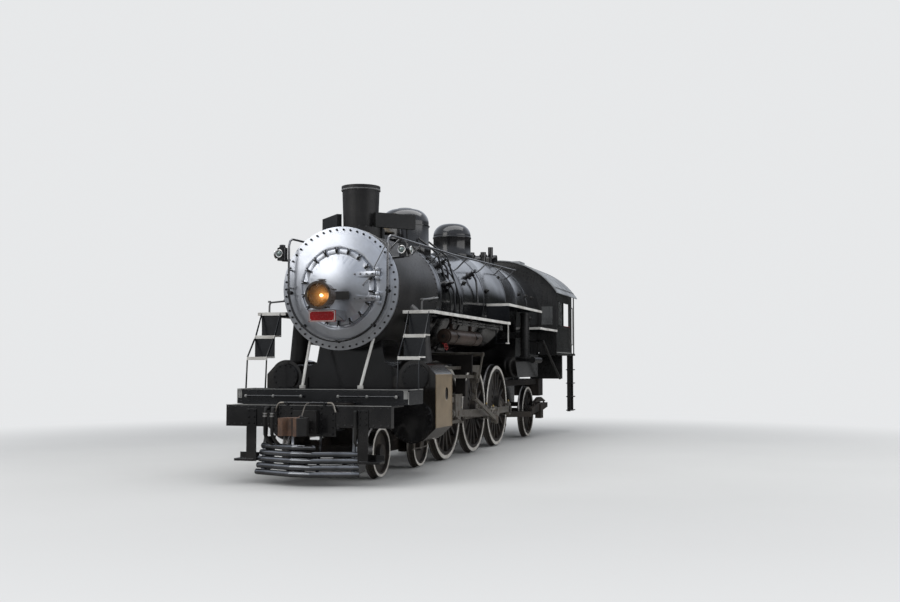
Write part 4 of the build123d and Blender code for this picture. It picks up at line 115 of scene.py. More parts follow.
class Nodes:
    """A short way to write a node tree."""

    def __init__(self, tree):
        self.tree = tree
        self.tree.nodes.clear()

    def add(self, kind, **inputs):
        """A node. Names with set_ are its own settings, i and a number is a socket by its place."""
        node = self.tree.nodes.new(kind)
        for key, value in inputs.items():
            if key.startswith("set_"):
                setattr(node, key[4:], value)
        for key, value in inputs.items():
            if key.startswith("set_"):
                continue
            by_number = key[0] == "i" and key[1:].isdigit()
            socket = node.inputs[int(key[1:]) if by_number else key.replace("_", " ")]
            if isinstance(value, bpy.types.NodeSocket):
                self.tree.links.new(value, socket)
            elif socket.type == "RGBA":
                socket.default_value = (*value, 1.0)
            else:
                socket.default_value = value
        return node

    def math(self, operation, first, second=0.0):
        return self.add("ShaderNodeMath", set_operation=operation, i0=first, i1=second).outputs[0]

    def plus(self, first, second):
        return self.math("ADD", first, second)

    def minus(self, first, second):
        return self.math("SUBTRACT", first, second)

    def times(self, first, second):
        return self.math("MULTIPLY", first, second)

    def most(self, first, second):
        return self.math("MAXIMUM", first, second)

    def above(self, value, limit):
        return self.math("GREATER_THAN", value, limit)

    def mix(self, factor, first, second):
        node = self.add("ShaderNodeMix", set_data_type="RGBA", i0=factor, i6=first, i7=second)
        return node.outputs[2]

    def band(self, value, start, end, low_value=0.0, high_value=1.0):
        """A smooth step from the low value at start to the high value at end."""
        node = self.add("ShaderNodeMapRange", set_interpolation_type="SMOOTHSTEP",
                        i0=value, i1=start, i2=end, i3=low_value, i4=high_value)
        return node.outputs[0]


class Paint(Nodes):
    """The nodes of a material, with the object's own coordinates at hand."""

    BUMP_DEPTH = 0.004

    def __init__(self, name):
        self.material = bpy.data.materials.new(name)
        self.material.use_nodes = True
        super().__init__(self.material.node_tree)
        self.place = self.add("ShaderNodeTexCoord").outputs["Object"]
        self.x, self.y, self.z = self.add("ShaderNodeSeparateXYZ", Vector=self.place).outputs
        self.side = self.math("ABSOLUTE", self.y)

    def noise(self, scale, detail, rough, stretch=None):
        """Noise of a scale, even or stretched along the axes."""
        place = self.place
        if stretch is not None:
            place = self.add("ShaderNodeMapping", Vector=place, Scale=stretch).outputs[0]
        node = self.add("ShaderNodeTexNoise", Vector=place, Scale=scale, Detail=detail, Roughness=rough)
        return node.outputs["Fac"]

    def distance(self, first, second):
        """The length of two offsets at right angles."""
        return self.math("SQRT", self.plus(self.times(first, first), self.times(second, second)))

    def finish(self, height=None, bump=0.0, **settings):
        """Adds the shader and the output, and returns the material."""
        if height is not None:
            settings["Normal"] = self.add("ShaderNodeBump", Strength=bump, Distance=self.BUMP_DEPTH,
                                          Height=height).outputs[0]
        shader = self.add("ShaderNodeBsdfPrincipled", **settings)
        self.add("ShaderNodeOutputMaterial", Surface=shader.outputs[0])
        return self.material


def painted(name, colour, gloss, dust=0.25, grime=0.35, metallic=0.0, bump=0.12, coat=0.0,
            dust_colour=(0.085, 0.074, 0.062), streaks=0.0):
    """Paint over steel: cloudy colour, dust where it settles, road dirt low down and rain streaks."""
    paint = Paint(name)
    cloud = paint.noise(1.7, 6.0, 0.6)
    grain = paint.noise(26.0, 3.0, 0.6)
    fine = paint.noise(140.0, 2.0, 0.5)
    runs = paint.noise(4.0, 5.0, 0.7, stretch=(5.0, 5.0, 0.35))
    normal = paint.add("ShaderNodeNewGeometry").outputs["Normal"]
    upward = paint.add("ShaderNodeSeparateXYZ", Vector=normal).outputs[2]
    settled = paint.times(paint.band(upward, 0.35, 0.95), paint.band(cloud, 0.35, 0.7))
    low_down = paint.times(paint.band(paint.z, 2.1, 0.3), paint.band(cloud, 0.3, 0.75))
    dirt = paint.most(paint.times(settled, dust), paint.times(low_down, grime))
    dirt = paint.most(dirt, paint.times(paint.band(runs, 0.5, 0.8), streaks))
    darker = [channel * 0.62 for channel in colour]
    lighter = [channel * 1.35 + 0.004 for channel in colour]
    base = paint.mix(paint.band(cloud, 0.3, 0.72), darker, lighter)
    base = paint.mix(dirt, base, dust_colour)
    rough = paint.plus(gloss, paint.times(paint.band(grain, 0.35, 0.8), 0.12))
    rough = paint.plus(rough, paint.times(dirt, 0.5))
    height = paint.plus(paint.times(grain, 0.7), paint.times(fine, 0.3))
    return paint.finish(height, bump, Base_Color=base, Roughness=rough, Metallic=metallic,
                        Coat_Weight=coat, Coat_Roughness=0.12, Specular_IOR_Level=0.3)


def bare_metal(name, colour, gloss, film=(0.06, 0.045, 0.03), oily=0.6):
    """Machined or forged steel under an oily brown film."""
    paint = Paint(name)
    cloud = paint.noise(3.2, 6.0, 0.65)
    grain = paint.noise(60.0, 3.0, 0.6)
    brushed = paint.noise(40.0, 3.0, 0.6, stretch=(0.6, 8.0, 8.0))
    covered = paint.times(paint.band(cloud, 0.38, 0.68), oily)
    height = paint.times(paint.plus(grain, brushed), 0.5)
    return paint.finish(height, 0.15, Base_Color=paint.mix(covered, colour, film),
                        Roughness=paint.plus(gloss, paint.times(brushed, 0.2)),
                        Metallic=paint.minus(1.0, paint.times(covered, 0.8)))


def coupler_casting(name, black_x):
    """A rusty cast coupler ahead of its black pocket, with painted shade in black on the head's left part
    and in its throat's gap.
    """
    paint = Paint(name)
    cloud = paint.noise(6.0, 8.0, 0.7)
    grain = paint.noise(70.0, 4.0, 0.65)
    rusty = paint.mix(paint.band(cloud, 0.38, 0.62), (0.075, 0.050, 0.040), (0.150, 0.082, 0.052))
    rusty = paint.mix(paint.band(grain, 0.5, 0.75), rusty, (0.24, 0.13, 0.07))
    # Painted shade: the head stays black more than 60 to 85 mm left of the middle, and in a narrow strip
    # along the throat's gap
    ahead = paint.times(paint.above(paint.x, black_x), paint.band(paint.y, 0.085, 0.060))
    throat = paint.math("ABSOLUTE", paint.plus(paint.y, 0.055))
    ahead = paint.times(ahead, paint.band(throat, 0.004, 0.014))
    return paint.finish(grain, 0.4, Base_Color=paint.mix(ahead, (0.012, 0.011, 0.010), rusty),
                        Roughness=paint.plus(0.42, paint.times(cloud, 0.4)), Metallic=0.15)


def silver_front(name):
    """Aluminium paint with grey clouds and faint runs."""
    paint = Paint(name)
    cloud = paint.noise(2.4, 6.0, 0.6)
    grain = paint.noise(90.0, 3.0, 0.6)
    runs = paint.noise(5.0, 6.0, 0.7, stretch=(6.0, 6.0, 0.5))
    base = paint.mix(paint.band(cloud, 0.3, 0.7), (0.40, 0.415, 0.445), (0.50, 0.52, 0.56))
    base = paint.mix(paint.times(paint.band(runs, 0.55, 0.8), 0.35), base, (0.30, 0.30, 0.30))
    rough = paint.plus(0.30, paint.times(paint.band(grain, 0.3, 0.8), 0.04))
    return paint.finish(grain, 0.02, Base_Color=base, Roughness=rough, Metallic=0.85)


def wheel_paint(name, joint, rim_depth):
    """Black wheel with a dull white tyre face and a bright worn tread."""
    paint = Paint(name)
    axle = AXLE_AT[joint]
    tread_r = axle[2] - RAIL_Z
    radius = paint.distance(paint.minus(paint.x, axle[0]), paint.minus(paint.z, axle[2]))
    cloud = paint.noise(5.0, 6.0, 0.65)
    grain = paint.noise(50.0, 3.0, 0.6)
    outer = paint.above(paint.side, WHEEL_FACE_Y - 0.012)
    ring = paint.times(outer, paint.above(radius, tread_r - rim_depth))
    tread = paint.above(radius, tread_r - 0.0065)
    base = paint.mix(paint.band(cloud, 0.35, 0.7), (0.012, 0.011, 0.011), (0.045, 0.036, 0.028))
    white = paint.mix(paint.band(cloud, 0.35, 0.75), (0.62, 0.60, 0.56), (0.36, 0.33, 0.29))
    base = paint.mix(tread, paint.mix(ring, base, white), (0.20, 0.19, 0.18))
    rough = paint.plus(0.42, paint.times(paint.minus(grain, tread), 0.25))
    return paint.finish(grain, 0.15, Base_Color=base, Roughness=rough, Metallic=tread)


def edge_painted(name, zones):
    """Black paint, white within each zone. A zone gives low and high ends along x, side or z."""
    paint = Paint(name)
    cloud = paint.noise(3.0, 6.0, 0.6)
    grain = paint.noise(40.0, 3.0, 0.6)
    picked = 0.0
    for zone in zones:
        inside = 1.0
        for way, (low, high) in zone.items():
            value = getattr(paint, way)
            inside = paint.times(inside, paint.above(value, low))
            inside = paint.times(inside, paint.math("LESS_THAN", value, high))
        picked = paint.most(picked, inside)
    white = paint.mix(paint.band(cloud, 0.35, 0.75), (0.72, 0.71, 0.68), (0.45, 0.43, 0.40))
    base = paint.mix(paint.band(cloud, 0.3, 0.7), (0.006, 0.007, 0.009), (0.013, 0.014, 0.017))
    rough = paint.plus(paint.plus(0.14, paint.times(grain, 0.15)), paint.times(picked, 0.25))
    return paint.finish(grain, 0.08, Base_Color=paint.mix(picked, base, white), Roughness=rough)


def clear_glass(name, colour, cover):
    """Thin tinted glass that covers a share of what lies behind it."""
    paint = Paint(name)
    smear = paint.band(paint.noise(9.0, 5.0, 0.7), 0.5, 0.8)
    return paint.finish(Base_Color=colour, Roughness=paint.plus(0.03, paint.times(smear, 0.12)),
                        Alpha=cover, IOR=1.45, Coat_Weight=1.0)


def casing_paint(name):
    """Gloss black casing whose flat outer panel carries a tan painted reflection of sunlit ground."""
    paint = Paint(name)
    cloud = paint.noise(2.2, 6.0, 0.6)
    grain = paint.noise(60.0, 3.0, 0.6)
    flat = paint.above(paint.side, CASING_FACE_Y - 0.004)
    # The tan film on the flat panel is a painted reflection of sunlit ground
    film = paint.times(flat, paint.band(cloud, 0.25, 0.7, 0.55, 0.95))
    base = paint.mix(paint.band(cloud, 0.3, 0.7), (0.007, 0.006, 0.006), (0.016, 0.014, 0.012))
    return paint.finish(grain, 0.05, Base_Color=paint.mix(film, base, (0.30, 0.225, 0.140)),
                        Roughness=paint.plus(0.14, paint.times(flat, 0.16)),
                        Coat_Weight=0.7, Coat_Roughness=0.08)


def dish_glow(name, colour, reach):
    """A lit reflector: bright about its axis and dark at the rim."""
    paint = Paint(name)
    radius = paint.distance(paint.minus(paint.y, 0.02), paint.minus(paint.z, RAIL_Z + LAMP_Z / 1000))
    spread = paint.math("POWER", paint.band(radius, reach, 0.0, 0.05, 1.0), 1.6)
    level = paint.times(spread, paint.band(paint.noise(30.0, 3.0, 0.6), 0.2, 0.8, 0.8, 1.1))
    return paint.finish(Base_Color=[channel * 0.2 for channel in colour], Roughness=0.2, Metallic=0.6,
                        Emission_Color=colour, Emission_Strength=level)


def glow(name, colour, strength):
    """A lit bulb with a slightly uneven light."""
    paint = Paint(name)
    level = paint.band(paint.noise(20.0, 3.0, 0.6), 0.2, 0.8, strength * 0.7, strength * 1.2)
    return paint.finish(Base_Color=colour, Roughness=0.3, Emission_Color=colour, Emission_Strength=level)


# Materials

BLACK = painted("black_gloss", (0.008, 0.008, 0.009), 0.15, dust=0.3, grime=0.12, coat=0.5)
JACKET = painted("boiler_jacket", (0.12, 0.122, 0.128), 0.14, dust=0.06, grime=0.0, metallic=1.0,
                 coat=0.5, bump=0.04, streaks=0.08)
DOME = painted("dome_black", (0.009, 0.009, 0.010), 0.12, dust=0.08, grime=0.0, coat=0.45, bump=0.04,
               streaks=0.1)
SMOKEBOX = painted("smokebox_graphite", (0.022, 0.021, 0.021), 0.38, grime=0.0, streaks=0.35)
STACK = painted("stack_black", (0.020, 0.019, 0.019), 0.42, dust=0.12, grime=0.0, streaks=0.25)
CAB = painted("cab_paint", (0.016, 0.016, 0.016), 0.26, dust=0.3, grime=0.0, coat=0.3, streaks=0.25)
# Light grey roof paint: a painted sheen that stands for the sky's reflection on the roof
ROOF_PAINTED_SHEEN = painted("roof_painted_sheen", (0.24, 0.25, 0.26), 0.30, dust=0.3, grime=0.0, streaks=0.2,
               dust_colour=(0.20, 0.20, 0.195))
RUNNING = painted("running_gear", (0.012, 0.010, 0.009), 0.42, dust=0.6, grime=0.7, bump=0.3,
                  dust_colour=(0.060, 0.046, 0.034))
PIPES = painted("pipes", (0.010, 0.010, 0.010), 0.26, dust=0.4, grime=0.3)
RESERVOIR = painted("reservoir_brown", (0.050, 0.034, 0.027), 0.34, dust=0.3, grime=0.3, streaks=0.4)
HANDRAIL = painted("handrail_steel", (0.20, 0.20, 0.205), 0.22, dust=0.2, grime=0.0, metallic=0.9)
GREY_PIPE = painted("grey_pipe", (0.16, 0.16, 0.16), 0.35, dust=0.4, grime=0.4)
COOLING = painted("cooling_pipe_grey", (0.13, 0.128, 0.125), 0.24, dust=0.4, grime=0.2, metallic=0.8)
WORN = painted("worn_edge", (0.30, 0.30, 0.29), 0.35, dust=0.5, grime=0.4)
WHITE = painted("white_trim", (0.62, 0.61, 0.58), 0.4, dust=0.3, grime=0.4)
RED = painted("plate_red", (0.36, 0.008, 0.010), 0.22, dust=0.05, grime=0.0)
RED_DARK = painted("valve_red", (0.26, 0.014, 0.012), 0.4, dust=0.2, grime=0.3)
DARK_BOLT = painted("dark_bolts", (0.020, 0.019, 0.018), 0.4, dust=0.3, grime=0.2, bump=0.3)
BRONZE = painted("lamp_bronze", (0.040, 0.028, 0.020), 0.18, dust=0.2, grime=0.0, coat=0.6)
PILOT = painted("pilot_black", (0.17, 0.175, 0.185), 0.13, dust=0.05, grime=0.1, metallic=0.9, bump=0.03)
BOARD_BLACK = painted("board_black", (0.010, 0.010, 0.010), 0.45, dust=0.1, grime=0.0)
RUBBER = painted("hose_rubber", (0.014, 0.014, 0.014), 0.5, dust=0.3, grime=0.3)
DECK = painted("deck_black", (0.008, 0.009, 0.011), 0.16, dust=0.5, grime=0.1, coat=0.5)
DIAL = painted("dial_white", (0.66, 0.65, 0.60), 0.3, dust=0.1, grime=0.0)
MARKER_LENS = painted("marker_lens", (0.16, 0.20, 0.19), 0.06, dust=0.0, grime=0.0, metallic=0.4,
                      coat=1.0, bump=0.02)
ROD = bare_metal("rod_steel", (0.38, 0.36, 0.33), 0.24, oily=0.85, film=(0.075, 0.054, 0.038))
GEAR = bare_metal("gear_steel", (0.26, 0.24, 0.21), 0.34, oily=0.95, film=(0.040, 0.030, 0.022))
STEEL = bare_metal("bright_steel", (0.58, 0.57, 0.55), 0.2, oily=0.3)
BRASS = bare_metal("brass", (0.60, 0.44, 0.18), 0.22, oily=0.35, film=(0.16, 0.10, 0.04))
BELL = bare_metal("bell_bronze", (0.07, 0.055, 0.035), 0.35, oily=0.95, film=(0.016, 0.013, 0.010))
SILVER = silver_front("smokebox_silver")
CASING = casing_paint("cylinder_casing")
COUPLER = coupler_casting("coupler_casting", MAIN_X + 6.885)
# Dark window glass that covers most of what lies behind it: painted shade for the cab's inside
SHADED_GLASS = clear_glass("window_glass", (0.020, 0.023, 0.024), cover=0.80)
LENS = clear_glass("lamp_lens", (0.30, 0.16, 0.06), cover=0.16)
REFLECTOR = dish_glow("lamp_reflector", (0.80, 0.33, 0.07), reach=0.20)
BULB = glow("lamp_bulb", (1.0, 0.72, 0.32), 5.0)

# White edges of the boards and steps, in metres: a strip below the top, and a lip behind the front end
STRIP = 0.056
LIP = 0.0145
STEP_TOPS = (2.001, 2.374)
OUTER_EDGE = (1.584, 1.7)
BOARDS = edge_painted("board_edges", [
    {"side": OUTER_EDGE, "z": (RAIL_Z + 2.20, RAIL_Z + 2.80)},
    {"side": OUTER_EDGE, "z": (RAIL_Z + 3.14, RAIL_Z + 3.21)},
] + [
    {"x": (MAIN_X + front / 1000 - LIP, MAIN_X + front / 1000 + 0.002),
     "z": (RAIL_Z + top / 1000 - STRIP, RAIL_Z + top / 1000 + 0.01)}
    for _, front, top, _, _ in BOARD_RUNS
])
STEPS = edge_painted("step_edges", [
    {"x": (MAIN_X + 5.0, MAIN_X + 6.0), "z": (RAIL_Z + top - STRIP, RAIL_Z + top + 0.003)}
    for top in STEP_TOPS
])
# The braces from the deck to the smokebox are white, and the rails below them are black
BRACES = edge_painted("brace_white", [{"z": (RAIL_Z + 1.47, RAIL_Z + 2.5)}])

# CAD nodes of each material
NODES_OF = (
    (BLACK, "pilot_beam footboards cylinder_saddle cylinder_covers turret bell_stand marker_lamps"),
    (RUNNING, "main_frame guide_yoke air_pump brake_gear driver_springs lead_truck_frame"),
    (RUNNING, "trailing_truck_frame"),
    (ROD, "guide_bars eccentric_rods side_rod_left side_rod_right crosshead_left crosshead_right"),
    (ROD, "main_rod_left main_rod_right"),
    (CAB, "cab_front cab_side_left cab_side_right cab_floor"),
    (GEAR, "valve_gear backhead_fittings"), (SMOKEBOX, "smokebox steam_pipes"),
    (SILVER, "smokebox_front smokebox_door"), (JACKET, "boiler firebox"), (DOME, "sand_dome steam_dome"),
    (COUPLER, "coupler"), (DECK, "front_deck"), (PILOT, "pilot"), (BRACES, "front_rails"),
    (RUBBER, "air_hoses"), (CASING, "cylinders"), (STACK, "stack"), (BELL, "bell"),
    (BOARD_BLACK, "number_boards"), (HANDRAIL, "handrails"), (BOARDS, "running_boards"),
    (STEPS, "board_steps"), (RESERVOIR, "air_reservoirs"), (PIPES, "boiler_pipes"), (ROOF_PAINTED_SHEEN, "cab_roof"),
    (SHADED_GLASS, "cab_glass"), (BRONZE, "headlight"), (RED, "number_plate"),
    (wheel_paint("driver_1", "driver_axle_1_turn", 0.078), "driver_wheels_1"),
    (wheel_paint("driver_2", "driver_axle_2_turn", 0.078), "driver_wheels_2"),
    (wheel_paint("driver_3", "driver_axle_3_turn", 0.078), "driver_wheels_3"),
    (wheel_paint("lead_front", "lead_axle_front_turn", 0.05), "lead_wheels_front"),
    (wheel_paint("lead_rear", "lead_axle_rear_turn", 0.05), "lead_wheels_rear"),
    (wheel_paint("trailing", "trailing_axle_turn", 0.06), "trailing_wheels"),
)
MATERIAL_OF = {name: material for material, names in NODES_OF for name in names.split()}

# Nodes whose domed faces keep their own normals, and widths of the softened edges
DOMED = ("smokebox_door", "smokebox_front", "sand_dome", "steam_dome", "boiler", "smokebox")
EDGE_WIDTH = {"cylinders": 0.012, "firebox": 0.02, "pilot": 0.014, "cab_glass": 0.001}
USUAL_WIDTH = 0.004
SHARP_ANGLE = math.radians(38)


# Softened edges on the CAD nodes

def geometry_group(name, *kinds):
    """A geometry node group that sends its geometry through a row of nodes, and these nodes."""
    group = bpy.data.node_groups.new(name, "GeometryNodeTree")
    for in_out in ("INPUT", "OUTPUT"):
        group.interface.new_socket("Geometry", in_out=in_out, socket_type="NodeSocketGeometry")
    row = [group.nodes.new(kind) for kind in ("NodeGroupInput", *kinds, "NodeGroupOutput")]
    for first, second in zip(row, row[1:]):
        group.links.new(first.outputs[0], second.inputs[0])
    return group, row[1:-1]


def join_group():
    """Joins the frame's split corners and lets go of its stored normals."""
    group, (merge, forget) = geometry_group("join_corners", "GeometryNodeMergeByDistance",
                                            "GeometryNodeRemoveAttribute")
    merge.inputs["Distance"].default_value = 0.00005
    forget.inputs["Name"].default_value = "custom_normal"
    return group


def smooth_group():
    """Smooth faces that meet at less than the sharp angle, sharp edges elsewhere."""
    group, (faces, edges) = geometry_group("smooth_by_angle", "GeometryNodeSetShadeSmooth",
                                           "GeometryNodeSetShadeSmooth")
    faces.domain = "FACE"
    edges.domain = "EDGE"
    angle = group.nodes.new("GeometryNodeInputMeshEdgeAngle")
    test = group.nodes.new("FunctionNodeCompare")
    test.data_type = "FLOAT"
    test.operation = "LESS_EQUAL"
    test.inputs[1].default_value = SHARP_ANGLE
    group.links.new(angle.outputs[0], test.inputs[0])
    group.links.new(test.outputs[0], edges.inputs[2])
    return group


JOIN = join_group()
SMOOTH = smooth_group()


def soften(obj, width, weigh):
    """Rounds the node's edges a little so that they catch the light, and keeps flat faces flat."""
    obj.modifiers.new("join", "NODES").node_group = JOIN
    flat = obj.modifiers.new("flatten", "DECIMATE")
    flat.decimate_type = "DISSOLVE"
    flat.angle_limit = math.radians(0.6)
    bevel = obj.modifiers.new("bevel", "BEVEL")
    bevel.width = width
    bevel.segments = 2
    bevel.limit_method = "ANGLE"
    bevel.angle_limit = SHARP_ANGLE
    bevel.use_clamp_overlap = True
    obj.modifiers.new("smooth", "NODES").node_group = SMOOTH
    if weigh:
        obj.modifiers.new("weighted", "WEIGHTED_NORMAL").keep_sharp = True


def dress_nodes():
    """Gives each CAD node its material and soft edges."""
    for name, obj in frame["nodes"].items():
        obj.data.materials.clear()
        obj.data.materials.append(MATERIAL_OF[name])
        soften(obj, EDGE_WIDTH.get(name, USUAL_WIDTH), name not in DOMED)


dress_nodes()


# Mesh making

def axis_matrix(place, axis):
    """Places a form drawn along +Z so that it points along axis."""
    turn = Vector(axis).normalized().to_track_quat("Z", "Y").to_matrix().to_4x4()
    return Matrix.Translation(place) @ turn


def curve_points(points, reach, steps=6):
    """Rounds the corners of a row of points with arcs that start at reach from each corner."""
    result = [points[0]]
    for before, corner, after in zip(points, points[1:], points[2:]):
        back = before - corner
        on = after - corner
        cut = min(reach, back.length * 0.49, on.length * 0.49)
        start = corner + back.normalized() * cut
        end = corner + on.normalized() * cut
        for step in range(steps + 1):
            share = step / steps
            result.append(start.lerp(corner, share).lerp(corner.lerp(end, share), share))
    result.append(points[-1])
    return result


class Shape:
    """Collects parts of one mesh and turns them into a piece. Sizes are in metres."""

    def __init__(self):
        self.mesh = bmesh.new()

    def skin(self, rings, closed=True):
        """Faces between neighbouring rings of corners, with caps at both ends if closed."""
        for first, second in zip(rings, rings[1:]):
            for step, corner in enumerate(first):
                nxt = (step + 1) % len(first)
                self.mesh.faces.new((corner, first[nxt], second[nxt], second[step]))
        if closed:
            for ring in (rings[0][::-1], rings[-1]):
                if (ring[0].co - ring[len(ring) // 2].co).length > 1e-6:
                    self.mesh.faces.new(ring)

    def turned(self, profile, place, axis, count=24, closed=True):
        """A turned form: profile is (distance along the axis, radius)."""
        turn = axis_matrix(place, axis)
        rings = [
            [self.mesh.verts.new(turn @ Vector((radius * cosine, radius * sine, along_axis)))
             for cosine, sine in around(count)]
            for along_axis, radius in profile
        ]
        self.skin(rings, closed and profile[0] != profile[-1])

    def box(self, centre, size, turn=0.0):
        """A block with its centre and full sizes, turned about the engine's length."""
        matrix = Matrix.Translation(centre) @ Matrix.Rotation(turn, 4, "X") @ Matrix.Diagonal((*size, 1.0))
        bmesh.ops.create_cube(self.mesh, size=1.0, matrix=matrix)

    def tube(self, points, radius, count=10):
        """A round pipe along smooth points, closed at its ends."""
        rings = []
        up = (points[1] - points[0]).orthogonal().normalized()
        for index, point in enumerate(points):
            before = points[max(index - 1, 0)]
            after = points[min(index + 1, len(points) - 1)]
            forward = (after - before).normalized()
            up = (up - forward * up.dot(forward)).normalized()
            across = forward.cross(up)
            rings.append([self.mesh.verts.new(point + radius * (cosine * up + sine * across))
                          for cosine, sine in around(count)])
        self.skin(rings)

    def bent(self, points, reach, radius, count=8):
        """A round pipe whose corners are rounded from reach on."""
        self.tube(curve_points(points, reach), radius, count)

    def peg(self, place, axis, radius, length, count=8):
        """A plain round bar with a flat end."""
        self.turned(((0.0, radius), (length, radius), (length, 0.0)), place, axis, count)

    def bolt(self, place, axis, radius, length):
        """A hexagon head with a slightly domed top."""
        profile = ((0.0, radius), (length * 0.75, radius), (length, radius * 0.82), (length, 0.0))
        self.turned(profile, place, axis, 6)

    def stud(self, place, axis, radius, length):
        """A hexagon nut with the end of its stud."""
        self.bolt(place, axis, radius, length * 0.6)
        self.peg(place, axis, radius * 0.5, length)

    def rivet(self, place, axis, radius):
        """A round rivet head."""
        profile = ((0.0, 1.0), (0.4, 0.88), (0.66, 0.5), (0.75, 0.0))
        self.turned([(height * radius, share * radius) for height, share in profile], place, axis, 8)

    def hand_wheel(self, place, axis, radius):
        """A ring with four spokes and a hub."""
        matrix = axis_matrix(place, axis)
        ring = [matrix @ Vector((radius * cosine, radius * sine, 0)) for cosine, sine in around(24)]
        self.tube([*ring, ring[0]], radius * 0.12, 8)
        for end in (ring[0], ring[6]):
            self.tube((end, 2 * Vector(place) - end), radius * 0.09, 6)
        self.turned(((-0.012, radius * 0.24), (0.016, radius * 0.24), (0.022, 0.0)), place, axis, 12)

    def piece(self, name, material, body="chassis", smooth=35):
        """Finishes the mesh as a piece that rides on a body."""
        bmesh.ops.remove_doubles(self.mesh, verts=self.mesh.verts, dist=0.00002)
        bmesh.ops.recalc_face_normals(self.mesh, faces=self.mesh.faces)
        data = bpy.data.meshes.new(name)
        self.mesh.to_mesh(data)
        self.mesh.free()
        for face in data.polygons:
            face.use_smooth = True
        data.set_sharp_from_angle(angle=math.radians(smooth))
        data.materials.append(material)
        obj = bpy.data.objects.new(name, data)
        bpy.context.scene.collection.objects.link(obj)
        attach(obj, body)


# Seats on the CAD nodes

TREES = {}


def seat(node, start, toward):
    """Where a line from start meets a CAD node, and the outward direction there."""
    if node not in TREES:
        mesh = frame["nodes"][node].data
        corners = [vertex.co for vertex in mesh.vertices]
        TREES[node] = BVHTree.FromPolygons(corners, [tuple(face.vertices) for face in mesh.polygons])
    place, normal = TREES[node].ray_cast(start, toward)[:2]
    if normal.dot(toward) > 0:
        normal = -normal
    return place, normal


def seat_from_side(node, x, side, z):
    """The seat on a node that a line from clear air on one side meets, in millimetres."""
    clear_y = 1900
    return seat(node, at(x, side * clear_y, z), outward(-side))


def ring_places(count, x, radius, centre_z=AXIS_Z, centre_y=0.0):
    """Evenly spaced places on a crosswise circle, the first of them on the left."""
    return [on_circle(x, radius, 360 * number / count, centre_z, centre_y) for number in range(count)]


def grid(xs, ys, zs):
    """Every place with one of the xs, one of the ys and one of the zs, in millimetres."""
    return [at(x, y, z) for x in xs for y in ys for z in zs]


def each(draw, places, *details):
    """Draws the same form at every place."""
    for place in places:
        draw(place, *details)


# The silver front

def front_ring():
    """Nuts round the smokebox ring."""
    bolts = Shape()
    for place in ring_places(50, 5487, 1012):
        bolts.stud(place, FORWARD, 0.019, 0.036)
    bolts.piece("front_ring_bolts", DARK_BOLT)


def front_loop():
    """The pipe that loops below the door, with its clips."""
    radius = 908
    clip = ((0.0, 0.034), (0.010, 0.034), (0.010, 0.012), (0.098, 0.012), (0.098, 0.026), (0.124, 0.026),
            (0.124, 0.0))
    loop = Shape()
    loop.tube([on_circle(5600, radius, turn) for turn in range(0, -181, -5)], 0.0195, 12)
    for turn in (-4, -45, -90, -135, -176):
        loop.turned(clip, on_circle(5502, radius, turn), FORWARD, 14)
    loop.piece("front_loop", BLACK)


def door_dogs():
    """The dark clamps round the door, each with two claws and a nut."""
    dogs = Shape()
    for turn in range(12, 372, 20):
        angle = math.radians(turn)
        dogs.box(on_circle(5589, 612, turn, DOOR_Z), (0.018, 0.074, 0.034), angle)
        tip = on_circle(5589, 660, turn, DOOR_Z)
        across = 0.020 * Vector((0, -math.sin(angle), math.cos(angle)))
        for lean in (-1, 1):
            dogs.box(tip + lean * across, (0.016, 0.036, 0.015), angle + lean * 0.35)
        dogs.stud(on_circle(5597, 620, turn, DOOR_Z), FORWARD, 0.021, 0.034)
    dogs.piece("door_clamps", DARK_BOLT, "smokebox_door")


def door_hinges():
    """Nuts along the hinge straps and collars on the hinge pin."""
    collar = ((0.0, 0.052), (0.012, 0.052), (0.012, 0.030), (0.03, 0.030), (0.038, 0.0))
    bolts = Shape()
    for strap_z in (2983, 3395):
        for y in (330, 430, 540, 640):
            place, _ = seat("smokebox_door", at(6100, y, strap_z), BACK)
            bolts.stud(place, FORWARD, 0.017, 0.030)
        bolts.turned(collar, at(5605, 735, strap_z + 44), UP, 16)
    bolts.piece("door_hinge_bolts", GREY_PIPE, "smokebox_door")


def side_plate():
    """A blank plate on two pins behind the headlight."""
    plate = Shape()
    plate.box(at(5700, 113, 3033), (0.012, 0.280, 0.141))
    each(plate.peg, grid((5628,), (20, 200), (3033,)), FORWARD, 0.012, 0.066, 10)
    each(plate.rivet, grid((5706,), (-12, 238), (2978, 3088)), FORWARD, 0.008)
    plate.piece("side_plate_blank", DARK_BOLT, body="smokebox_door")


def lamp_wires():
    """The conduit to the left marker lamp and the short lead on the door."""
    conduit = Shape()
    end, _ = seat("smokebox_front", at(6100, 655, 3480), BACK)
    conduit.bent((at(5618, 895, 3905), end + Vector((0.075, 0.010, 0.012)), end), 0.05, 0.009)
    conduit.piece("lamp_conduit", GREY_PIPE)
    lead = Shape()
    start, _ = seat("smokebox_door", at(6100, 600, 3340), BACK)
    end, _ = seat("smokebox_door", at(6100, 470, 3200), BACK)
    lead.bent((start, start + Vector((0.05, -0.01, -0.01)), end + Vector((0.05, 0.01, 0.01)), end),
              0.04, 0.009)
    lead.piece("lamp_lead", GREY_PIPE, "smokebox_door")


def lamp_dish():
    """The headlight's reflector."""
    rim_r = 0.188
    radii = (0.024, 0.06, 0.1, 0.14, 0.17, rim_r)
    dish = Shape()
    dish.turned([(0.006 + 0.095 * (radius / rim_r) ** 2, radius) for radius in radii],
                at(6252, 0, LAMP_Z), FORWARD, 40, closed=False)
    dish.piece("lamp_dish", REFLECTOR, "smokebox_door", 60)


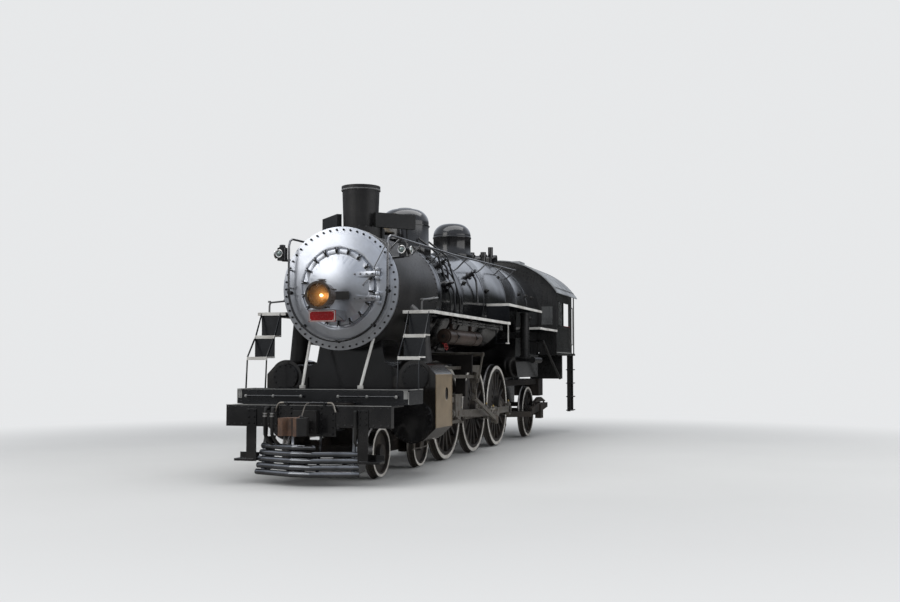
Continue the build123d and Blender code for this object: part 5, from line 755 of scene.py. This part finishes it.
def lamp_bulb():
    """The headlight's round bulb and its socket."""
    radius = 0.028
    turns = [math.radians(turn) for turn in range(0, 181, 20)]
    bulb = Shape()
    bulb.turned([(radius - radius * math.cos(turn), radius * math.sin(turn)) for turn in turns],
                at(6282, 20, LAMP_Z), FORWARD, 16)
    bulb.peg(at(6254, 20, LAMP_Z), FORWARD, 0.018, 0.030, 12)
    bulb.piece("lamp_bulb", BULB, "smokebox_door", 60)


def lamp_cover():
    """The headlight's glass, its rim with eight bolts and two bars, and the vent on top."""
    glass = Shape()
    glass.turned(((0.0, 0.190), (0.004, 0.190), (0.012, 0.12), (0.015, 0.05), (0.016, 0.0)),
                 at(6362, 0, LAMP_Z), FORWARD, 40)
    glass.piece("lamp_glass", LENS, "smokebox_door", 60)
    rim = Shape()
    rim.turned(((0.0, 0.188), (0.0, 0.226), (0.010, 0.233), (0.020, 0.226), (0.020, 0.196), (0.0, 0.188)),
               at(6379, 0, LAMP_Z), FORWARD, 48)
    for place in ring_places(8, 6398, 212, LAMP_Z):
        rim.bolt(place, FORWARD, 0.008, 0.006)
    for turn in (28.648, 151.261):
        rim.peg(on_circle(6100, 216, turn, LAMP_Z), FORWARD, 0.016, 0.30)
    rim.piece("lamp_rim", BRONZE, body="smokebox_door")
    vent = Shape()
    vent.turned(((0.0, 0.075), (0.03, 0.075), (0.03, 0.055), (0.05, 0.055), (0.05, 0.085), (0.065, 0.06),
                 (0.072, 0.0)), at(6240, 0, LAMP_Z + 208), UP, 20)
    vent.piece("lamp_vent", BRONZE, body="smokebox_door")


def plate_trim():
    """The white border and rivets of the blank red plate."""
    low, high = [Vector(corner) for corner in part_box("number_plate")]
    half = (high - low) / 2
    front = Vector((high.x, low.y + half.y, low.z + half.z))
    wide = 0.013
    inset = 0.035
    border = Shape()
    heads = Shape()
    for sign in (-1, 1):
        border.box(front + Vector((0.001, 0, sign * (half.z - wide))), (0.004, 2 * half.y - wide, wide))
        border.box(front + Vector((0.001, sign * (half.y - wide), 0)), (0.004, wide, 2 * half.z - wide))
        for sign_z in (-1, 1):
            corner = Vector((0, sign * (half.y - inset), sign_z * (half.z - inset)))
            heads.rivet(front + corner, FORWARD, 0.009)
    border.piece("plate_border", WHITE, "smokebox_door")
    heads.piece("plate_rivets", STEEL, "smokebox_door")


def marker_lenses():
    """Bright rings and lenses on the marker lamps' front and side tubes, and the lamps' tops."""
    ring = ((0.0, 0.050), (0.0, 0.068), (0.012, 0.072), (0.020, 0.064), (0.014, 0.050), (0.0, 0.050))
    lens = ((0.0, 0.051), (0.010, 0.045), (0.020, 0.030), (0.026, 0.0))
    top = ((0.0, 0.060), (0.02, 0.060), (0.02, 0.040), (0.04, 0.040), (0.04, 0.062), (0.06, 0.03),
           (0.066, 0.0))
    rings = Shape()
    lenses = Shape()
    tops = Shape()
    for side in SIDES:
        for x, y, axis in ((5522, 1134, FORWARD), (5400, 1251, outward(side))):
            place = at(x, side * y, 3800)
            rings.turned(ring, place, axis, 28)
            lenses.turned(lens, place + axis * 0.003, axis, 24)
        tops.turned(top, at(5400, side * 1134, 3908), UP, 18)
    rings.piece("marker_rings", STEEL, smooth=50)
    lenses.piece("marker_glass", MARKER_LENS, smooth=60)
    tops.piece("marker_tops", BLACK)


# Smokebox, stack and boiler

def smokebox_rivets():
    """Rivet rows round both ends of the smokebox, where its skin is free."""
    rivets = Shape()
    for x in (5400, 5330, 3330, 3270):
        middle = at(x, 0, AXIS_Z)
        for number in range(56):
            start = on_circle(x, 1300, -48 + 276 * number / 55)
            place, normal = seat("smokebox", start, (middle - start).normalized())
            if (place - middle).length < 1.05:
                rivets.rivet(place, normal, 0.014)
    rivets.piece("smokebox_rivets", SMOKEBOX)


def stack_trim():
    """Nuts on the stack's foot, the rivets of its seam and the band below its lip."""
    stack_x = 4554
    foot = Shape()
    for cosine, sine in around(20):
        place, normal = seat("stack", at(stack_x + 400 * cosine, 400 * sine, 4600), DOWN)
        foot.stud(place, normal, 0.016, 0.026)
    for z in range(4420, 5000, 45):
        place, normal = seat("stack", at(stack_x - 500, 0, z), FORWARD)
        foot.rivet(place, normal, 0.010)
    foot.piece("stack_bolts", STACK)
    band = Shape()
    band.turned(((0.0, 0.339), (0.0, 0.352), (0.012, 0.356), (0.024, 0.352), (0.024, 0.339), (0.0, 0.339)),
                at(stack_x, 0, 4991), UP, 64)
    band.piece("stack_band", GREY_PIPE)


def dome_trim():
    """Nuts round the feet of both domes and a band round the sand dome."""
    domes = Shape()
    for node, x, foot_r, count in (("sand_dome", 2190, 505, 20), ("steam_dome", -1041, 455, 18)):
        for cosine, sine in around(count):
            place, normal = seat(node, at(x + foot_r * cosine, foot_r * sine, 4700), DOWN)
            if place.z > RAIL_Z + 3.9:
                domes.stud(place, normal, 0.015, 0.024)
    domes.turned(((0.0, 0.486), (0.0, 0.500), (0.014, 0.500), (0.014, 0.486)), at(2190, 0, 4640), UP, 72)
    domes.piece("dome_bolts", BLACK)


def washout_plugs():
    """Plugs with square heads on the firebox and the boiler."""
    plug = ((0.0, 0.052), (0.012, 0.052), (0.012, 0.034), (0.030, 0.034), (0.030, 0.0))
    places = [("firebox", x, 3600) for x in (-3200, -3900, -4600)]
    places += [("firebox", x, 3050) for x in (-3550, -4250)]
    places += [("boiler", 2350, 3420), ("boiler", 1250, 3550), ("boiler", -150, 3480)]
    plugs = Shape()
    for side in SIDES:
        for node, x, z in places:
            place, normal = seat_from_side(node, x, side, z)
            plugs.turned(plug, place, normal, 16)
            plugs.box(place + normal * 0.040, (0.034, 0.034, 0.034))
    plugs.piece("washout_plugs", DARK_BOLT)


def cooling_pipes():
    """Bright sleeves with joints over the two long pipes below each running board."""
    pipe_y = 1500
    cooling = Shape()
    for side in SIDES:
        for z in (2625, 2680):
            place, _ = seat_from_side("boiler_pipes", 2000, side, z)
            radius = abs(place.y) - pipe_y / 1000 + 0.001
            joint = ((0.0, radius + 0.008), (0.030, radius + 0.008))
            cooling.tube((at(230, side * pipe_y, z), at(3870, side * pipe_y, z)), radius, 14)
            for x in range(400, 3800, 560):
                cooling.turned(joint, at(x, side * pipe_y, z), FORWARD, 14)
    cooling.piece("cooling_pipes", COOLING)


def band_clamps():
    """Blocks with a bolt that draw the boiler's bands tight."""
    clamps = Shape()
    for x in (2950, 1500, 100, -1700):
        for side in SIDES:
            for z in (2850, 3900):
                place, normal = seat_from_side("boiler", x, side, z)
                clamps.box(place + normal * 0.012, (0.075, 0.030, 0.060))
                clamps.bolt(place + normal * 0.024, normal, 0.014, 0.018)
    clamps.piece("band_clamps", DARK_BOLT)


def bent_pipes():
    """Light pipes that rise from the front of the running boards and bend in to the smokebox."""
    corners = ((5310, 1420, 2790), (5310, 1420, 2960), (4380, 1420, 3055), (4200, 1180, 3010))
    pipes = Shape()
    for side in SIDES:
        pipes.bent([at(x, side * y, z) for x, y, z in corners], 0.09, 0.017, 10)
        for x, z in ((5310, 2960), (4700, 3021)):
            pipes.peg(at(x, side * 1420, z), UP, 0.028, 0.030, 10)
    pipes.piece("bent_pipes", GREY_PIPE)


def smokebox_arcs():
    """Two thin pipes over the top of the smokebox."""
    arcs = Shape()
    for x, spread in ((5370, 62), (5240, 48)):
        arcs.tube([on_circle(x, 1052, 90 - turn) for turn in range(-spread, spread + 1, 4)], 0.011, 8)
    arcs.piece("smokebox_arcs", BLACK)


def check_valves():
    """Flanged valves on the boiler's sides, each with a pipe down."""
    valve = ((-0.01, 0.085), (0.020, 0.085), (0.020, 0.050), (0.110, 0.046), (0.110, 0.066), (0.130, 0.066),
             (0.130, 0.024), (0.190, 0.020), (0.190, 0.0))
    bolt_r = 0.068
    valves = Shape()
    for side in SIDES:
        for x, z in ((2600, 3420), (2250, 3850), (700, 3750)):
            place, normal = seat_from_side("boiler", x, side, z)
            valves.turned(valve, place, normal, 18)
            top = place + normal * 0.075
            valves.bent((top, top + Vector((0, side * 0.10, -0.12)), top + Vector((0, side * 0.14, -0.62))),
                        0.08, 0.022, 10)
            flange = axis_matrix(place + normal * 0.02, normal)
            for cosine, sine in around(6):
                valves.bolt(flange @ Vector((bolt_r * cosine, bolt_r * sine, 0)), normal, 0.009, 0.010)
    valves.piece("check_valves", BLACK)


def red_hand_wheels():
    """A red hand wheel on a stem below each running board."""
    wheels = Shape()
    for side in SIDES:
        hub = at(3883, side * 1400, 2196)
        wheels.hand_wheel(hub, (0.25, side, 0.2), 0.058)
        wheels.tube((hub, at(3883, side * 1330, 2260)), 0.011, 8)
    wheels.piece("red_hand_wheels", RED_DARK)


# Front deck, beam and pilot

def worn_edges():
    """Bright lines where the edges of the deck and the beam are worn."""
    edges = Shape()
    edges.box(at(6236, 0, 1463), (0.016, 3.056, 0.010))
    edges.box(at(6790, 0, 1221), (0.014, 2.846, 0.010))
    each(edges.box, grid((5900,), (1525, -1525), (1463,)), (0.670, 0.012, 0.010))
    edges.piece("worn_edges", WORN)


def front_bolts():
    """Rivets on the fronts of the deck and the beam, and groups of nuts on both sides of the coupler."""
    beside_coupler = [y for y in range(-1380, 1381, 120) if abs(y) > 520]
    inner_nuts = grid((6804,), (-455, -260, 260, 455), (780, 880, 1000, 1100, 1180))
    outer_nuts = grid((6808,), (-1010, -912, 912, 1010), (930, 1030, 1130))
    heads = Shape()
    each(heads.rivet, grid((6240,), range(-1450, 1451, 145), (1425, 1260)), FORWARD, 0.013)
    each(heads.rivet, grid((6790,), beside_coupler, (1185, 915)), FORWARD, 0.014)
    each(heads.stud, inner_nuts, FORWARD, 0.020, 0.032)
    each(heads.stud, outer_nuts, FORWARD, 0.018, 0.030)
    heads.piece("front_bolts", BLACK)


def deck_tread():
    """Low ribs across and along the deck."""
    tread = Shape()
    each(tread.box, grid(range(5600, 6221, 62), (0,), (1463.5,)), (0.010, 2.96, 0.005))
    each(tread.box, grid((5900,), range(-1440, 1441, 120), (1463.5,)), (0.62, 0.010, 0.004))
    tread.piece("deck_tread", DECK)


def flag_brackets():
    """Bolted brackets at the deck's front corners."""
    brackets = Shape()
    each(brackets.box, grid((6246,), (1470, -1470), (1380,)), (0.010, 0.066, 0.130))
    each(brackets.box, grid((6262,), (1470, -1470), (1448,)), (0.040, 0.066, 0.010))
    each(brackets.box, grid((6246,), (1519, -1519), (1330,)), (0.010, 0.012, 0.200))
    each(brackets.bolt, grid((6251,), (1470, -1470), (1345, 1415)), FORWARD, 0.012, 0.012)
    brackets.piece("flag_brackets", WORN)


def rail_knobs():
    """Knobs along the rail in front of the deck."""
    knob = ((-0.024, 0.0), (-0.016, 0.022), (0.0, 0.028), (0.016, 0.022), (0.024, 0.0))
    knobs = Shape()
    for place in grid((6310,), (330, 830, 1330, -330, -830, -1330), (1350,)):
        knobs.turned(knob, place, outward(1), 14)
    knobs.piece("rail_knobs", WORN, smooth=60)


def coupler_pins():
    """The knuckle's pin and the nuts of the coupler's pocket."""
    pins = Shape()
    pins.turned(((0.0, 0.040), (0.030, 0.040), (0.040, 0.030), (0.046, 0.0)), at(7170, 85, 1035), UP, 14)
    each(pins.stud, grid((6880,), (120, -120), (980, 830)), FORWARD, 0.026, 0.036)
    pins.piece("coupler_pins", COUPLER)


def coupler_lift():
    """The link from the cutting lever to the coupler's pin, and the lever's handles."""
    lift = Shape()
    lift.bent((at(6830, 60, 1262), at(6985, 66, 1240), at(7120, 80, 1100), at(7150, 85, 1050)), 0.06, 0.011)
    for side in SIDES:
        lift.bent((at(6830, side * 375, 1265), at(6832, side * 470, 1262), at(6850, side * 520, 1120)),
                  0.05, 0.014)
    lift.piece("coupler_lift", GEAR)


def hose_clamps():
    """Clamps round the front air hoses."""
    hose_r = 0.027
    clamps = Shape()
    for y in (-667, -545):
        for z in (1090, 1050):
            place, _ = seat("air_hoses", at(7300, y, z), BACK)
            clamps.turned(((-0.012, 0.036), (0.012, 0.036)), place + BACK * hose_r, UP, 16)
    clamps.piece("hose_clamps", STEEL)


# Cylinders and motion

def cover_bolts():
    """Nuts round the covers of the cylinders and the valve chests."""
    # Number of nuts, their ring's radius, distance out and height in millimetres, a nut's radius and length
    covers = ((20, 345, 1150, 927, 0.020, 0.034), (12, 205, 1215, 1652, 0.016, 0.028))
    bolts = Shape()
    for side in SIDES:
        for x, axis, inward in ((5389, FORWARD, BACK), (3759, BACK, FORWARD)):
            for count, ring_r, y, z, nut_r, length in covers:
                for start in ring_places(count, x, ring_r, z, side * y):
                    place, _ = seat("cylinder_covers", start, inward)
                    bolts.stud(place, axis, nut_r, length)
    bolts.piece("cover_bolts", BLACK)


def casing_beads():
    """Beading and rivets round the casings' flat sides."""
    beads = Shape()
    for side in SIDES:
        y = side * 1586
        each(beads.box, grid((4574,), (y,), (806, 1685)), (0.910, 0.008, 0.018))
        each(beads.box, grid((4125, 5023), (y,), (1245,)), (0.018, 0.008, 0.88))
        each(beads.rivet, grid((4150, 4998), (y,), range(860, 1661, 100)), outward(side), 0.010)
    beads.piece("casing_beads", CASING)


def cylinder_drains():
    """Drain cocks below the cylinders and the pipe that they share."""
    cock = ((0.0, 0.024), (0.05, 0.024), (0.05, 0.014), (0.12, 0.014), (0.12, 0.0))
    corners = ((4220, 1150, 430), (4574, 1150, 420), (4930, 1150, 430), (5040, 1160, 410))
    drains = Shape()
    for side in SIDES:
        for x in (4220, 4574, 4930):
            drains.turned(cock, at(x, side * 1150, 530), DOWN, 12)
        drains.bent([at(x, side * y, z) for x, y, z in corners], 0.06, 0.013)
    drains.piece("cylinder_drains", GEAR)


def oil_cups(side, side_name, crank):
    """Oil cups on the side rods above the crank pins."""
    cup = ((0.0, 0.026), (0.022, 0.026), (0.022, 0.018), (0.040, 0.018), (0.044, 0.0))
    cups = Shape()
    for axle_x in DRIVER_XS:
        cups.turned(cup, Vector((axle_x, side * 0.995, AXLE_Z + 0.174)) + crank, UP, 12)
    cups.piece("oil_cups_" + side_name, BRASS, "side_rods_" + side_name)


def wheel_nuts(number, side, side_name, crank):
    """Nuts on a crank pin, the cap of the axle and the rivets round the rim."""
    axle_x = DRIVER_XS[number - 1]
    nuts = Shape()
    pin = Vector((axle_x, side * 1.058, AXLE_Z)) + crank
    if number != 2:
        nuts.bolt(pin, outward(side), 0.050, 0.004)
    for cosine, sine in around(6):
        nuts.bolt(pin + 0.080 * Vector((cosine, 0, sine)), outward(side), 0.011, 0.004)
    nuts.turned(((0.0, 0.110), (0.010, 0.104), (0.012, 0.050), (0.004, 0.045), (0.004, 0.0)),
                (axle_x, side * 0.903, AXLE_Z), outward(side), 32)
    for cosine, sine in around(17, 0.5):
        place = Vector((axle_x, side * WHEEL_FACE_Y, AXLE_Z)) + 0.835 * Vector((cosine, 0, sine))
        nuts.rivet(place, outward(side), 0.014)
    nuts.piece("wheel_nuts_%d_%s" % (number, side_name), GEAR, "driver_axle_%d" % number)


def big_end_trim(side, side_name, crank):
    """The cap and the oil cup of the main rod's big end."""
    cap = Vector((MAIN_X, side * 1.200, AXLE_Z)) + crank
    trim = Shape()
    trim.turned(((0.0, 0.085), (0.008, 0.082), (0.010, 0.050), (0.0, 0.045)), cap, outward(side), 24)
    trim.turned(((0.0, 0.024), (0.024, 0.024), (0.024, 0.014), (0.040, 0.014), (0.042, 0.0)),
                cap + Vector((0, -side * 0.05, 0.125)), UP, 12)
    trim.piece("big_end_trim_" + side_name, BRASS, "main_rod_" + side_name)


def motion_trim():
    """The trim of rods and driving wheels. The right crank stands a quarter turn off the left one."""
    for side, side_name, turn in ((1, "left", 195), (-1, "right", 105)):
        angle = math.radians(turn)
        crank = CRANK_R * Vector((math.cos(angle), 0, math.sin(angle)))
        oil_cups(side, side_name, crank)
        for number in (1, 2, 3):
            wheel_nuts(number, side, side_name, crank)
        big_end_trim(side, side_name, crank)


# Cab

def window_frames():
    """Frames and bars of the side windows."""
    ys = (1579, -1579)
    frames = Shape()
    for back, front in ((-6150, -5530), (-7050, -6210)):
        width = (front - back) / 1000 + 0.04
        each(frames.box, grid(((back + front) / 2,), ys, (2910, 3560)), (width, 0.016, 0.030))
        each(frames.box, grid((back, front), ys, (3235,)), (0.030, 0.016, 0.65))
    each(frames.box, grid((-5840,), (1564, -1564), (3235,)), (0.020, 0.012, 0.62))
    frames.piece("window_frames", CAB)


def window_sills():
    """Red arm rests below the rear side windows."""
    sills = Shape()
    each(sills.box, grid((-6630,), (1586, -1586), (2906,)), (0.86, 0.050, 0.034))
    sills.piece("window_sills", RED_DARK)


def cab_rivets():
    """Rivet rows on the cab's sides."""
    rivets = Shape()
    for side in SIDES:
        y = (side * 1575,)
        places = grid(range(-7400, -5320, 65), y, (2225, 2300, 3770))
        places += grid((-5335, -7415), y, range(2370, 3700, 65)) + grid((-6180,), y, range(2370, 2880, 65))
        each(rivets.rivet, places, outward(side), 0.009)
    rivets.piece("cab_rivets", CAB)


def cab_rails():
    """Hand rails at the cab's rear corners and a strip along each lower edge."""
    rails = Shape()
    for side in SIDES:
        wall = side * 1576
        grip = side * 1615
        corners = ((wall, 2420), (grip, 2450), (grip, 3450), (wall, 3480))
        rails.bent([at(-7410, y, z) for y, z in corners], 0.04, 0.014, 10)
        rails.box(at(-6375, side * 1580, 2196), (2.14, 0.014, 0.022))
    rails.piece("cab_rails", WORN)


def roof_seams():
    """Seams across the roof and a gutter along each side."""
    roof = Shape()
    for x in (-5330, -5960, -6640, -7300, -7930):
        roof.tube([seat("cab_roof", at(x, y, 6000), DOWN)[0] for y in range(-1560, 1561, 104)], 0.010, 8)
    for side in SIDES:
        edge, _ = seat("cab_roof", at(-6600, side * 1540, 6000), DOWN)
        roof.box((MAIN_X - 6.62, edge.y, edge.z + 0.010), (2.58, 0.018, 0.030))
    roof.piece("roof_seams", ROOF_PAINTED_SHEEN)


def gauges():
    """Round gauges on the back of the firebox, with their dials."""
    cases = Shape()
    dials = Shape()
    for y, z, radius in ((0, 3950, 0.12), (260, 3900, 0.08), (-260, 3900, 0.08), (430, 3780, 0.065),
                         (-430, 3780, 0.065)):
        place, _ = seat("firebox", at(-7200, y, z), FORWARD)
        centre = place + BACK * 0.10
        cases.turned(((-0.10, 0.020), (0.0, 0.020), (0.0, radius), (0.045, radius), (0.050, radius * 0.92),
                      (0.040, radius * 0.90)), centre, BACK, 32)
        dials.turned(((0.041, radius * 0.9), (0.041, 0.0)), centre, BACK, 32)
    cases.piece("gauges", BRASS)
    dials.piece("gauge_dials", DIAL)


def backhead_wheels():
    """Red hand wheels on stems on the back of the firebox."""
    wheels = Shape()
    for y, z in ((520, 3450), (300, 3600), (640, 3200)):
        for side in SIDES:
            place, _ = seat("firebox", at(-7200, side * y, z), FORWARD)
            wheels.turned(((0.0, 0.030), (0.11, 0.016), (0.11, 0.0)), place, BACK, 12)
            wheels.hand_wheel(place + BACK * 0.115, BACK, 0.070)
    wheels.piece("backhead_wheels", RED_DARK)


# Pump, tanks and boards

def pump_fins():
    """Fins round the air pump."""
    pump_y = 1420
    pump = Shape()
    for z in (2120, 2250, 2320, 2390, 2460, 2560, 2720, 2850, 2960):
        place, _ = seat_from_side("air_pump", -900, -1, z)
        radius = abs(place.y) - pump_y / 1000
        if radius > 0.03:
            pump.turned(((-0.009, radius - 0.01), (-0.009, radius + 0.004), (0.009, radius + 0.004),
                         (0.009, radius - 0.01)), at(-900, -pump_y, z), UP, 28)
    pump.piece("pump_fins", RUNNING)


def tank_fittings():
    """Nuts on the air reservoirs' straps and plugs in their ends."""
    plug = ((0.0, 0.034), (0.022, 0.034), (0.022, 0.020), (0.045, 0.020), (0.045, 0.0))
    tanks = Shape()
    for side in SIDES:
        for x in (2150, 3410):
            place, normal = seat_from_side("air_reservoirs", x, side, 2385)
            tanks.stud(place, normal, 0.016, 0.030)
            tanks.box(place + normal * 0.004, (0.060, 0.010, 0.070))
        for x, axis, inward in ((4230, FORWARD, BACK), (1330, BACK, FORWARD)):
            place, _ = seat("air_reservoirs", at(x, side * 1350, 2385), inward)
            tanks.turned(plug, place, axis, 8)
    tanks.piece("tank_fittings", DARK_BOLT)


def board_rivets():
    """Rivet rows along both edges of the running boards."""
    rivets = Shape()
    for back, front, top, inner, outer in BOARD_RUNS:
        ys = (inner + 40, outer - 50, -inner - 40, 50 - outer)
        each(rivets.rivet, grid(range(back + 60, front - 20, 150), ys, (top,)), UP, 0.008)
    rivets.piece("board_rivets", BOARDS)


for draw in (front_ring, front_loop, door_dogs, door_hinges, side_plate, lamp_wires, lamp_dish, lamp_bulb,
             lamp_cover, plate_trim, marker_lenses, smokebox_rivets, stack_trim, dome_trim, washout_plugs,
             cooling_pipes, band_clamps, bent_pipes, smokebox_arcs, check_valves, red_hand_wheels,
             worn_edges, front_bolts, deck_tread, flag_brackets, rail_knobs, coupler_pins, coupler_lift,
             hose_clamps, cover_bolts, casing_beads, cylinder_drains, motion_trim, window_frames,
             window_sills, cab_rivets, cab_rails, roof_seams, gauges, backhead_wheels, pump_fins,
             tank_fittings, board_rivets):
    draw()


# Stage, lights and camera

def floor():
    """The pale floor, which fades into the backdrop far away."""
    bpy.ops.mesh.primitive_plane_add(size=400, location=(0, 0, 0))
    plane = bpy.context.object
    plane.name = "floor"
    paint = Paint("floor_pale")
    rays = paint.add("ShaderNodeLightPath")
    base = paint.mix(paint.noise(0.35, 4.0, 0.5), (0.60, 0.60, 0.59), (0.66, 0.66, 0.65))
    base = paint.mix(rays.outputs["Is Glossy Ray"], base, MIRRORED_FLOOR)
    shader = paint.add("ShaderNodeBsdfPrincipled", Base_Color=base, Roughness=0.9)
    backdrop = paint.add("ShaderNodeEmission", Color=BACKDROP, Strength=1.0)
    away = paint.add("ShaderNodeVectorMath", set_operation="LENGTH", i0=paint.place).outputs["Value"]
    share = paint.times(paint.band(away, FADE_FROM, FADE_TO), rays.outputs["Is Camera Ray"])
    blended = paint.add("ShaderNodeMixShader", i0=share, i1=shader.outputs[0], i2=backdrop.outputs[0])
    paint.add("ShaderNodeOutputMaterial", Surface=blended.outputs[0])
    plane.data.materials.append(paint.material)


def surroundings():
    """The world: the backdrop as seen, a sky and horizon for reflections, and soft light for the rest."""
    world = bpy.data.worlds.new("studio")
    bpy.context.scene.world = world
    world.use_nodes = True
    nodes = Nodes(world.node_tree)
    rays = nodes.add("ShaderNodeLightPath")
    seen = nodes.most(rays.outputs["Is Camera Ray"], rays.outputs["Is Transmission Ray"])
    direct = nodes.add("ShaderNodeBackground", Color=BACKDROP, Strength=1.0)
    place = nodes.add("ShaderNodeTexCoord").outputs["Generated"]
    ahead, _, upward = nodes.add("ShaderNodeSeparateXYZ", Vector=place).outputs
    horizon = nodes.mix(nodes.band(ahead, 0.25, 0.95), (0.030, 0.032, 0.031), (0.42, 0.43, 0.44))
    sky = nodes.mix(nodes.band(upward, 0.10, 0.30), horizon, (0.74, 0.79, 0.88))
    mirrored = nodes.add("ShaderNodeBackground", Color=sky, Strength=1.0)
    soft = nodes.add("ShaderNodeBackground", Color=(0.90, 0.93, 0.97), Strength=0.5)
    inner = nodes.add("ShaderNodeMixShader", i0=rays.outputs["Is Glossy Ray"],
                      i1=soft.outputs[0], i2=mirrored.outputs[0])
    outer = nodes.add("ShaderNodeMixShader", i0=seen, i1=inner.outputs[0], i2=direct.outputs[0])
    nodes.add("ShaderNodeOutputWorld", Surface=outer.outputs[0])


def aimed(place, direction):
    """The matrix of a lamp or camera at a place that looks in a direction."""
    return Matrix.Translation(place) @ direction.to_track_quat("-Z", "Y").to_matrix().to_4x4()


def lamp(name, place, target, size, power, colour=(1.0, 1.0, 1.0)):
    """A rectangular lamp turned to a target."""
    data = bpy.data.lights.new(name, "AREA")
    data.shape = "RECTANGLE"
    data.size, data.size_y = size
    data.energy = power
    data.color = colour
    obj = bpy.data.objects.new(name, data)
    bpy.context.scene.collection.objects.link(obj)
    obj.matrix_world = aimed(place, Vector(target) - Vector(place))


def lights():
    """A broad lamp overhead, one ahead on the engine's right and one on its left side."""
    lamp("top_lamp", (2.0, 1.0, 14.0), (1.0, 0.0, 2.0), (20.0, 8.0), 1500)
    lamp("front_lamp", (17.0, -9.0, 10.0), (6.0, 0.0, 2.8), (9.0, 7.0), 560, (1.0, 0.98, 0.95))
    lamp("side_lamp", (4.0, 15.0, 6.0), (1.0, 0.0, 1.8), (16.0, 5.0), 500)


def camera():
    """The photograph's viewpoint."""
    data = bpy.data.cameras.new("camera")
    data.sensor_width = SENSOR
    data.lens = CAMERA_LENS
    data.clip_end = 500.0
    obj = bpy.data.objects.new("camera", data)
    bpy.context.scene.collection.objects.link(obj)
    ahead = Vector((
        -math.cos(CAMERA_TURN) * math.cos(CAMERA_PITCH),
        -math.sin(CAMERA_TURN) * math.cos(CAMERA_PITCH),
        math.sin(CAMERA_PITCH),
    ))
    obj.matrix_world = aimed(CAMERA_PLACE, ahead)
    bpy.context.scene.camera = obj


floor()
surroundings()
lights()
camera()
bpy.context.scene.view_settings.view_transform = "Standard"
